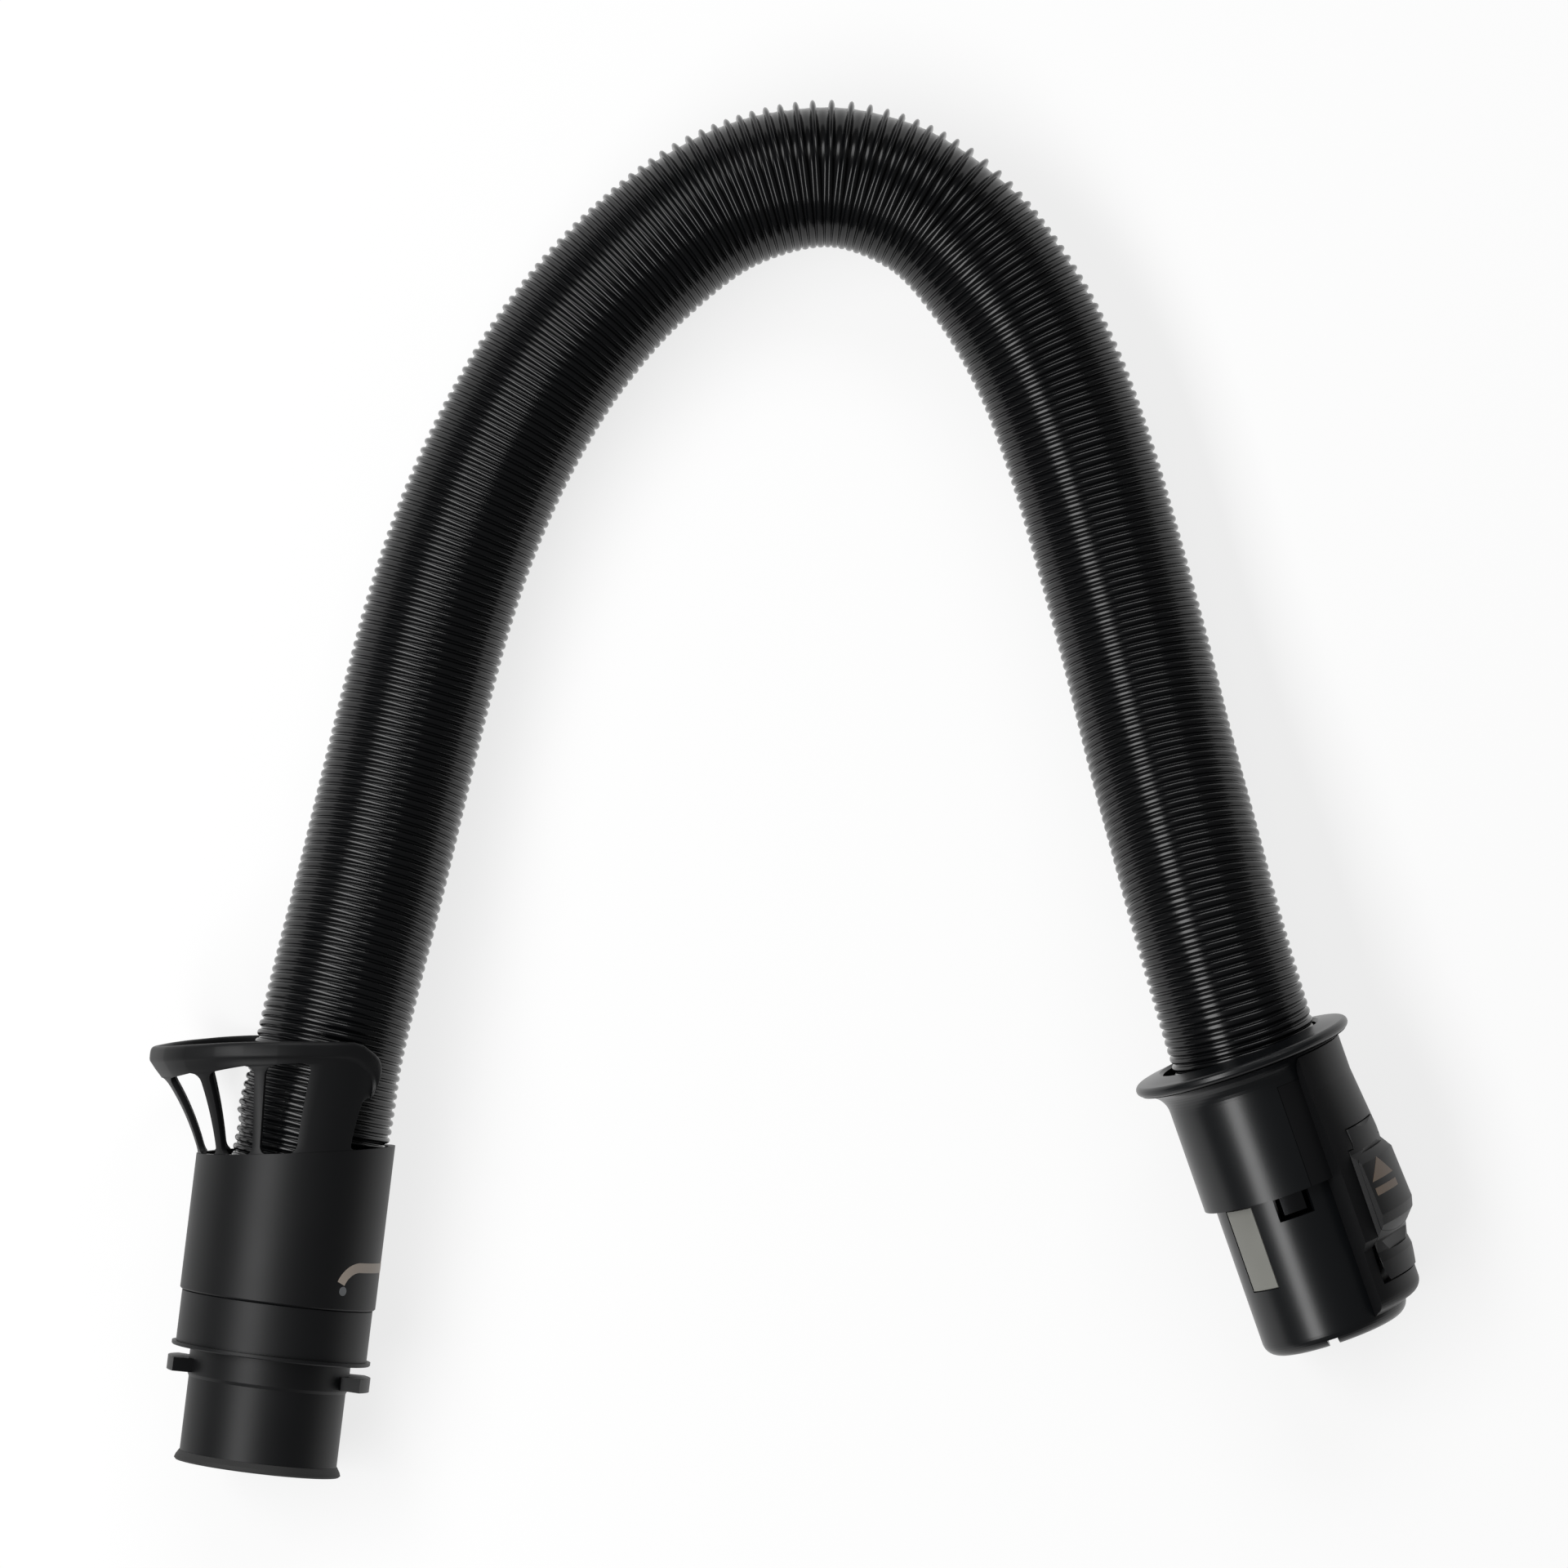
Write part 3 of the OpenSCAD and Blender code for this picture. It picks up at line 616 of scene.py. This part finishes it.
    def declare(self, piece: bpy.types.Object) -> None:
        """Puts the hose on its moving body and hides the hose jacket that it stands for.

        Args:
            piece: The hose.
        """
        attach(piece, Body.HOSE.value)
        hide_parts("hose_jacket")


# ---------------------------------------------------------------------------------------------
# Machine connector


@dataclass
class BendGuard:
    """Comb of ribs on the throat with a band, flared on one side."""

    radius: float = 29.05
    wall: float = 1.55
    throat: float = 95.5
    slant: float = 9.0
    length: float = 32.5
    stretch: float = 0.18
    angle_low: float = 21.0
    angle_high: float = 46.0
    post_lean: float = 5.5
    flare_power: float = 2.5
    half_span: float = 123.0
    facing: float = -177.0
    band: float = 10.0
    window_rise: float = 0.16
    rim: float = 5.5
    post_fan: float = 16.0
    spokes: int = 6
    spoke_w: float = 2.8
    post_w: float = 19.5
    post_round: float = 4.2
    post_steps: tuple[float, ...] = (
        0.0, 0.15, 0.4, 0.8, 1.4, 2.2, 3.2, 4.2, 7.0, 10.0, 13.0, 16.0,
    )
    mean_out: float = 5.15
    rim_turn: float = 1.2
    base_round: float = 2.2
    top_round: float = 2.6
    corner: float = 12.0
    window_cols: int = 10
    bevel: float = 0.22

    @property
    def window_top(self) -> float:
        """Distance of the windows' heads along the wall."""
        return self.length - self.band

    def to_turn(self, width: float) -> float:
        """Angle that a width spans on the guard's mean circle."""
        return math.degrees(width / (self.radius + self.mean_out))

    def point(self, turn: float, s: float, off: float) -> tuple[float, float, float]:
        """A point on the flared wall.

        Args:
            turn: Angle from the flared side, in degrees.
            s: Distance along the wall from the throat.
            off: Height off the wall's outer face.

        Returns:
            The point in the connector's own frame.
        """
        share = ((1 + math.cos(math.radians(turn))) / 2) ** self.flare_power
        outward = max(-math.cos(math.radians(turn)), 0.0)
        low = math.radians(share * self.angle_low + self.post_lean * outward)
        rate = math.radians(share * (self.angle_high - self.angle_low)) / self.length
        bent = min(s, self.length - self.rim)
        angle = low + rate * bent
        blend = min(max((s - bent) / self.rim_turn, 0.0), 1.0)
        face = angle * (1.0 - blend)
        scale = (1 + self.stretch * share) / rate
        r = self.radius + scale * (math.cos(low) - math.cos(angle)) + off * math.cos(face)
        rise = 0.0
        if s > 0:
            rise = scale * (math.sin(angle) - math.sin(low)) + s - bent - off * math.sin(face)
        rise -= r * math.cos(math.radians(turn)) * math.tan(math.radians(self.slant))
        a = math.radians(self.facing + turn)
        return (r * math.cos(a), r * math.sin(a), self.throat + rise)

    def fanned(self, turn: float, s: float) -> float:
        """Angle at a distance along the wall, where the end posts spread outwards."""
        reach = abs(turn) / self.half_span
        return turn + math.copysign(self.post_fan * reach**4 * (s / self.length) ** 2, turn)

    @staticmethod
    def quarter(x: float, r: float) -> float:
        """How far a quarter round of radius r stands out at a distance x from its tip."""
        return 0.0 if x >= r else r - math.sqrt(max(r * r - (r - x) ** 2, 0.0))

    def widening(self, s: float) -> float:
        """Angle by which a rib's foot and head are wider than its middle."""
        head = max(self.window_top - s, 0.0)
        return self.to_turn(self.quarter(s, self.base_round) + self.quarter(head, self.top_round))

    def columns(self) -> tuple[list[tuple[float, float]], list[bool]]:
        """Angles of the mesh's columns.

        Returns:
            Angle and share of the widening of each column, and whether the strip that
            starts there crosses a window.
        """
        span = self.half_span
        steps = self.post_steps
        middle = span - self.to_turn(self.post_w) + self.to_turn(self.spoke_w / 2)
        starts = [
            2 * middle * j / (self.spokes + 1) - middle + self.to_turn(self.spoke_w / 2)
            for j in range(self.spokes + 1)
        ]
        rows = [(self.to_turn(d) - span, min(d / self.post_round, 1.0) - 1) for d in steps]
        open_strip = [False] * len(rows)
        for j in range(self.spokes + 1):
            left, right = starts[j], -starts[self.spokes - j]
            for m in range(self.window_cols + 1):
                u = m / self.window_cols
                rows.append(((1 - u) * left + u * right, 1 - 2 * u))
                open_strip.append(m < self.window_cols)
        rows += [
            (span - self.to_turn(d), 1 - min(d / self.post_round, 1.0)) for d in reversed(steps)
        ]
        open_strip += [False] * len(steps)
        return rows, open_strip

    def top(self, turn: float) -> float:
        """Length of the wall at an angle, with the ends' corners rounded off."""
        ahead = math.radians(self.half_span - abs(turn)) * (self.radius + self.mean_out)
        d = self.corner - ahead
        if d <= 0:
            return self.length
        return self.length - self.corner + math.sqrt(max(self.corner**2 - d * d, 0.0))

    def comb_rows(self) -> list[float]:
        """Distances of the mesh's rows from the throat to the windows' heads."""
        r, w = self.base_round, self.window_top
        low = [r * (1 - math.cos(math.radians(a))) for a in (0, 20, 40, 60, 78, 90)]
        high = [w - self.top_round * (1 - math.cos(math.radians(a))) for a in (90, 70, 50, 30, 0)]
        first, last = low[-1], high[0]
        return low + [first + (last - first) * k / 8 for k in range(1, 8)] + high

    def section(self, column: tuple[float, float]) -> list[tuple[float, float, float]]:
        """Closed section of the wall at one column.

        Args:
            column: Angle and share of the widening.

        Returns:
            The section's points, from the outer foot over the rim to the inner foot.
        """
        turn, share = column
        top = self.top(turn)
        side = math.sin(math.radians(min(abs(turn), 90.0))) ** 2
        reach = min(1.0 + self.window_rise * side, (top - 5) / self.window_top)
        wall = [(turn + share * self.widening(s), s * reach) for s in self.comb_rows()]
        head = turn + share * self.widening(self.window_top)
        low, high = self.window_top * reach, top - self.rim
        wall += [(head, low + (high - low) * k / 3) for k in (1, 2)]
        t = self.wall
        rim = [
            (-5.0, 0.15), (-4.6, 0.45), (-4.2, 0.75), (-3.6, 0.9), (-2.4, 0.95), (-1.2, 0.9),
            (-0.6, 0.7), (-0.2, 0.35), (-0.02, -0.1), (0.0, -0.7), (-0.12, -1.1),
            (-0.6, -t), (-1.6, -t),
        ]
        return (
            [self.point(self.fanned(a, s), s, 0.0) for a, s in wall]
            + [self.point(self.fanned(head, top + ds), top + ds, off) for ds, off in rim]
            + [self.point(self.fanned(a, s), s, -t) for a, s in reversed(wall)]
        )

    def build(self) -> bpy.types.Object:
        """Makes the guard as one closed shell.

        Returns:
            The guard.
        """
        columns, open_strip = self.columns()
        sections = [self.section(c) for c in columns]
        n, feet, end = len(sections[0]), len(self.comb_rows()), len(columns) - 1
        faces: list[tuple[int, ...]] = []

        def side_wall(i: int, rows: int, ahead: bool) -> None:
            """Closes the wall at a column, between its outer and inner face."""
            for k in range(rows - 1):
                a, c = i * n + k, (i + 1) * n - 2 - k
                quad = (a, a + 1, c, c + 1)
                faces.append(quad if ahead else quad[::-1])

        for i in range(end):
            if open_strip[i]:
                ks = [(k, k + 1) for k in range(feet - 1, n - feet)]
                ks.append((n - feet, feet - 1))
            else:
                ks = [(k, (k + 1) % n) for k in range(n)]
            for k, m in ks:
                faces.append((i * n + k, i * n + m, (i + 1) * n + m, (i + 1) * n + k))
        for i in range(1, end):
            if open_strip[i] != open_strip[i - 1]:
                side_wall(i, feet, open_strip[i])
        side_wall(0, n // 2, False)
        side_wall(end, n // 2, True)
        tip = n // 2
        faces.append((tip + 1, tip, tip - 1))
        faces.append((end * n + tip - 1, end * n + tip, end * n + tip + 1))
        local = np.array([p for section in sections for p in section])
        piece = mesh_piece("flared_guard", MACHINE_PLACE.points(local), faces)
        bevel = piece.modifiers.new("edge", "BEVEL")
        bevel.width = self.bevel * MM
        bevel.segments = 2
        bevel.limit_method = "ANGLE"
        bevel.angle_limit = math.radians(50)
        bevel.harden_normals = False
        return piece


@dataclass
class LockMarks:
    """Arc and dot printed on the swivel housing, which show how it locks."""

    radius: float = 29.2
    lift: float = 0.05
    arc_start: tuple[float, float] = (20.9, 58.6)
    arc_r: float = 8.0
    arc_w: float = 2.9
    arc_from: float = 158.0
    run: float = 15.0
    head_l: float = 4.5
    head_w: float = 2.9
    sunk: float = 0.05
    dot_az: float = 43.0
    dot_h: float = 56.4
    dot_r: float = 1.35

    def _patch(self, name: str, outline: list[tuple[float, float]]) -> bpy.types.Object:
        """Thin raised patch on the housing, from strips between paired points.

        Args:
            name: Name of the piece.
            outline: Paired points: even ones on one edge, odd ones on the other, as
                distances round and along the housing.

        Returns:
            The patch.
        """
        points, faces = [], []
        for x, h in outline:
            azimuth = math.degrees(x / self.radius)
            points.append(MACHINE_PLACE.point(self.radius - self.sunk, azimuth, h))
            points.append(MACHINE_PLACE.point(self.radius + self.lift, azimuth, h))
        pairs = len(outline) // 2
        for i in range(pairs - 1):
            a, c = 4 * i, 4 * i + 4
            faces += [(a + 1, a + 3, c + 3, c + 1), (a, c, c + 2, a + 2)]
            faces += [(a, a + 1, c + 1, c), (a + 2, c + 2, c + 3, a + 3)]
        e = 4 * (pairs - 1)
        faces += [(0, 2, 3, 1), (e, e + 1, e + 3, e + 2)]
        return mesh_piece(name, np.array(points), faces, smooth=False)

    def build(self) -> list[tuple[bpy.types.Object, Finish]]:
        """Makes the arc arrow and the dot.

        Returns:
            The pieces with their finishes.
        """
        first = math.radians(self.arc_from)
        x0 = self.arc_start[0] - self.arc_r * math.cos(first)
        h0 = self.arc_start[1] - self.arc_r * math.sin(first)
        half = self.arc_w / 2
        rows: list[tuple[float, float]] = []
        for k in range(21):
            a = first + (math.pi / 2 - first) * k / 20
            for r in (self.arc_r - half, self.arc_r + half):
                rows.append((x0 + r * math.cos(a), h0 + r * math.sin(a)))
        top = h0 + self.arc_r
        for k in range(1, 13):
            x = x0 + self.run * k / 12
            rows += [(x, top - half), (x, top + half)]
        arc = self._patch("lock_arc", rows)
        head: list[tuple[float, float]] = []
        for k in range(7):
            x = x0 + self.run + self.head_l * k / 6
            width = self.head_w * (1 - k / 6) + 0.02
            head += [(x, top - width), (x, top + width)]
        arrow = self._patch("lock_arrow_head", head)
        dot_x = math.radians(self.dot_az) * self.radius
        dots: list[tuple[float, float]] = []
        for k in range(17):
            t = math.pi * k / 16
            x = dot_x - self.dot_r * math.cos(t)
            half = self.dot_r * math.sin(t) + 0.01
            dots += [(x, self.dot_h - half), (x, self.dot_h + half)]
        dot = self._patch("lock_dot", dots)
        return [(arc, ARROW_INK), (arrow, ARROW_INK), (dot, DOT_PLASTIC)]


# ---------------------------------------------------------------------------------------------
# Wand connector


@dataclass
class CoilSpring:
    """Wire spring between the plug and the latch, with closed end turns."""

    azimuth: float = 60.0
    height: float = 54.0
    seat: float = 22.5
    top: float = 26.69
    mean_r: float = 2.4
    wire_r: float = 0.25
    turns: float = 3.4
    shut: float = 0.7
    rest: float = 0.05
    pressed: float = 0.48
    steps: int = 150
    sides: int = 10

    def _point(self, x: float, y: float, r: float) -> np.ndarray:
        """A point beside the spring's axis.

        Args:
            x: Distance round the connector from the axis.
            y: Distance along the connector from the axis.
            r: Distance from the connector's axis.

        Returns:
            The point in the part's frame, in millimetres.
        """
        foot = np.array(WAND_PLACE.point(0.0, self.azimuth, self.height))
        out = np.array(WAND_PLACE.point(1.0, self.azimuth, self.height)) - foot
        along = np.array(WAND_PLACE.point(0.0, self.azimuth, self.height + 1.0)) - foot
        return foot + r * out + y * along + x * np.cross(along, out)

    def _axis(self) -> np.ndarray:
        """Direction in which the spring pushes."""
        return self._point(0.0, 0.0, 1.0) - self._point(0.0, 0.0, 0.0)

    def _wire(self, u: float) -> np.ndarray:
        """Middle of the wire at a share of its length."""
        turn = u * self.turns
        open_turns = self.turns - 2 * self.shut
        rise = min(max((turn - self.shut) / open_turns, 0.0), 1.0)
        low = self.seat + self.wire_r + self.rest
        high = self.top - self.wire_r - self.rest
        a = 2 * math.pi * turn
        return self._point(
            self.mean_r * math.cos(a), self.mean_r * math.sin(a), low + (high - low) * rise
        )

    def build(self) -> bpy.types.Object:
        """Makes the wire as one closed tube.

        Returns:
            The spring.
        """
        steps, sides = self.steps, self.sides
        middle = np.array([self._wire(k / steps) for k in range(steps + 1)])
        head = np.gradient(middle, axis=0)
        head /= np.linalg.norm(head, axis=1)[:, None]
        side = np.cross(head, self._axis())
        side /= np.linalg.norm(side, axis=1)[:, None]
        lift = np.cross(side, head)
        angle = np.linspace(0.0, 2 * math.pi, sides, endpoint=False)
        points = np.concatenate(
            [
                m + self.wire_r * (np.outer(np.cos(angle), a) + np.outer(np.sin(angle), b))
                for m, a, b in zip(middle, side, lift)
            ]
        )
        faces: list[tuple[int, ...]] = [
            (i * sides + k, i * sides + j, (i + 1) * sides + j, (i + 1) * sides + k)
            for i in range(steps)
            for k, j in ((k, (k + 1) % sides) for k in range(sides))
        ]
        faces.append(tuple(range(sides))[::-1])
        faces.append(tuple(steps * sides + k for k in range(sides)))
        return mesh_piece("latch_coil", points, faces)

    def declare(self, piece: bpy.types.Object) -> None:
        """Puts the spring on the wand connector's body and hides the latch spring that it stands
        for.

        Args:
            piece: The spring.
        """
        seat = self._point(0.0, 0.0, self.seat)
        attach(piece, Body.WAND.value)
        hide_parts("latch_spring")
        tuple(self._axis())
        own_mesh(piece)


@dataclass
class EjectSymbol:
    """Generic eject symbol printed on the release button."""

    azimuth: float = 53.0
    height: float = 39.2
    width: float = 12.0
    triangle_h: float = 6.3
    bar_h: float = 2.3
    gap: float = 2.0
    crown_low: tuple[float, float] = (39.4, 33.5)
    crown_high: tuple[float, float] = (55.5, 34.4)
    lift: float = 0.06
    sunk: float = 0.08

    def crown(self, h: float) -> float:
        """Radius of the button's face at a height."""
        (h0, r0), (h1, r1) = self.crown_low, self.crown_high
        return r0 + (r1 - r0) * (h - h0) / (h1 - h0)

    def _patch(self, name: str, rows: list[tuple[float, float, float]]) -> bpy.types.Object:
        """Thin raised patch on the button.

        Args:
            name: Name of the piece.
            rows: Height, and the two edges as distances round the button.

        Returns:
            The patch.
        """
        columns = 10
        points, faces = [], []
        for h, left, right in rows:
            r = self.crown(h)
            for k in range(columns + 1):
                x = left + (right - left) * k / columns
                azimuth = self.azimuth + math.degrees(x / r)
                points.append(WAND_PLACE.point(r - self.sunk, azimuth, h))
                points.append(WAND_PLACE.point(r + self.lift, azimuth, h))
        n = 2 * (columns + 1)
        for i in range(len(rows) - 1):
            for k in range(columns):
                a, c = i * n + 2 * k, (i + 1) * n + 2 * k
                faces += [(a + 1, c + 1, c + 3, a + 3), (a, a + 2, c + 2, c)]
            a, c = i * n, (i + 1) * n
            faces += [(a, c, c + 1, a + 1), (a + n - 2, a + n - 1, c + n - 1, c + n - 2)]
        e = (len(rows) - 1) * n
        for k in range(columns):
            a = 2 * k
            faces += [(a, a + 1, a + 3, a + 2), (e + a, e + a + 2, e + a + 3, e + a + 1)]
        return mesh_piece(name, np.array(points), faces, smooth=False)

    def build(self) -> list[tuple[bpy.types.Object, Finish]]:
        """Makes the triangle, which points to the hose, and the bar behind it.

        Returns:
            The pieces with their finishes.
        """
        half = self.width / 2
        rows = []
        for k in range(9):
            u = k / 8
            rows.append((self.height + self.triangle_h * u, -half * u - 0.02, half * u))
        triangle = self._patch("release_triangle", rows)
        low = self.height + self.triangle_h + self.gap
        bar = self._patch("release_bar", [(low, -half, half), (low + self.bar_h, -half, half)])
        return [(triangle, SYMBOL_INK), (bar, SYMBOL_INK)]


# ---------------------------------------------------------------------------------------------
# Studio


@dataclass
class Studio:
    """Pale floor, soft lamps and the camera."""

    centre: tuple[float, float] = (156.8, 203.6)
    span: float = 467.8
    distance: float = 3000.0
    lean: float = 2.5
    floor_z: float = -28.5
    floor_size: float = 6.0
    floor_tone: float = 0.9
    white_share: float = 0.78
    room_light: float = 0.14
    sensor: float = 36.0

    def camera(self) -> None:
        """Makes the camera, which looks down from a little on the connectors' side."""
        data = bpy.data.cameras.new("camera")
        data.sensor_width = self.sensor
        data.lens = self.sensor * self.distance / self.span
        data.clip_end = 20.0
        camera = bpy.data.objects.new("camera", data)
        lean = math.radians(self.lean)
        camera.location = (
            self.centre[0] * MM,
            (self.centre[1] - self.distance * math.sin(lean)) * MM,
            self.distance * math.cos(lean) * MM,
        )
        camera.rotation_euler = (lean, 0.0, 0.0)
        bpy.context.scene.collection.objects.link(camera)
        bpy.context.scene.camera = camera

    def floor(self) -> None:
        """Makes the plain pale floor, which keeps the shadows."""
        half = self.floor_size / 2 / MM
        x, y = self.centre
        points = np.array(
            [
                (x - half, y - half, self.floor_z),
                (x + half, y - half, self.floor_z),
                (x + half, y + half, self.floor_z),
                (x - half, y + half, self.floor_z),
            ]
        )
        floor = mesh_piece("floor", points, [(0, 1, 2, 3)], smooth=False, closed=False)
        material = bpy.data.materials.new("pale floor")
        material.use_nodes = True
        tree = material.node_tree
        shader = tree.nodes["Principled BSDF"]
        shader.inputs["Base Color"].default_value = (*[self.floor_tone] * 3, 1.0)
        shader.inputs["Roughness"].default_value = 0.9
        shader.inputs["Specular IOR Level"].default_value = 0.1
        white = tree.nodes.new("ShaderNodeEmission")
        white.inputs["Strength"].default_value = 1.0
        path = tree.nodes.new("ShaderNodeLightPath")
        seen, also, share = (tree.nodes.new("ShaderNodeMath") for _ in range(3))
        seen.operation = also.operation = "MAXIMUM"
        share.operation = "MULTIPLY"
        share.inputs[1].default_value = self.white_share
        both = tree.nodes.new("ShaderNodeMixShader")
        tree.links.new(path.outputs["Is Camera Ray"], seen.inputs[0])
        tree.links.new(path.outputs["Is Glossy Ray"], seen.inputs[1])
        tree.links.new(seen.outputs[0], also.inputs[0])
        tree.links.new(path.outputs["Is Transmission Ray"], also.inputs[1])
        tree.links.new(also.outputs[0], share.inputs[0])
        tree.links.new(share.outputs[0], both.inputs["Fac"])
        tree.links.new(shader.outputs[0], both.inputs[1])
        tree.links.new(white.outputs[0], both.inputs[2])
        tree.links.new(both.outputs[0], tree.nodes["Material Output"].inputs["Surface"])
        floor.data.materials.append(material)

    def lamp(
        self,
        name: str,
        at: tuple[float, float, float],
        size: tuple[float, float],
        power: float,
    ) -> None:
        """Makes a soft rectangular lamp that points at the part.

        Args:
            name: Name of the lamp.
            at: Its place from the part's centre, in metres.
            size: Its width and height, in metres.
            power: Its power in watts.
        """
        data = bpy.data.lights.new(name, "AREA")
        data.shape = "RECTANGLE"
        data.size, data.size_y = size
        data.energy = power
        lamp = bpy.data.objects.new(name, data)
        target = Vector((self.centre[0] * MM, self.centre[1] * MM, 0.0))
        lamp.location = target + Vector(at)
        lamp.rotation_euler = Vector(at).to_track_quat("Z", "Y").to_euler()
        bpy.context.scene.collection.objects.link(lamp)

    def light(self) -> None:
        """Sets the lamps and the even light of the room."""
        self.lamp("key", (-0.95, -0.3, 1.5), (2.4, 0.6), 36.0)
        self.lamp("top", (0.1, 1.5, 1.3), (1.6, 0.6), 14.0)
        world = bpy.data.worlds.new("room")
        world.use_nodes = True
        back = world.node_tree.nodes["Background"]
        back.inputs["Color"].default_value = (1.0, 1.0, 1.0, 1.0)
        back.inputs["Strength"].default_value = self.room_light
        bpy.context.scene.world = world
        bpy.context.scene.view_settings.view_transform = "Standard"


# ---------------------------------------------------------------------------------------------


def main() -> None:
    """Builds the pieces in order and dresses them."""
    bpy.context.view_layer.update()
    studio = Studio()
    studio.camera()
    hose = RibbedHose()
    tube = hose.build()
    hose.declare(tube)
    shop = FinishShop()
    shop.dress(tube, HOSE_RUBBER)

    guard = BendGuard().build()
    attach(guard, Body.MACHINE.value)
    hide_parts("bend_guard")
    shop.dress(guard, SATIN_PLASTIC)
    log.info("guard: %d faces", len(guard.data.polygons))

    for piece, finish in LockMarks().build():
        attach(piece, Body.MACHINE.value)
        shop.dress(piece, finish)
        log.info("mark: %s", piece.name)
    for piece, finish in EjectSymbol().build():
        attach(piece, Body.LATCH.value)
        shop.dress(piece, finish)
        log.info("symbol: %s", piece.name)

    spring = CoilSpring()
    coil = spring.build()
    shop.dress(coil, SPRING_STEEL)
    spring.declare(coil)
    log.info("latch spring: %.1f turns", spring.turns)

    for name, finish in CAD_FINISHES.items():
        shop.dress(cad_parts[name], finish)
        log.info("node: %s, %s", name, finish.name)

    studio.floor()
    studio.light()


if __name__ == "__main__":
    logging.basicConfig(level=logging.INFO, format="%(name)s %(message)s")
    main()
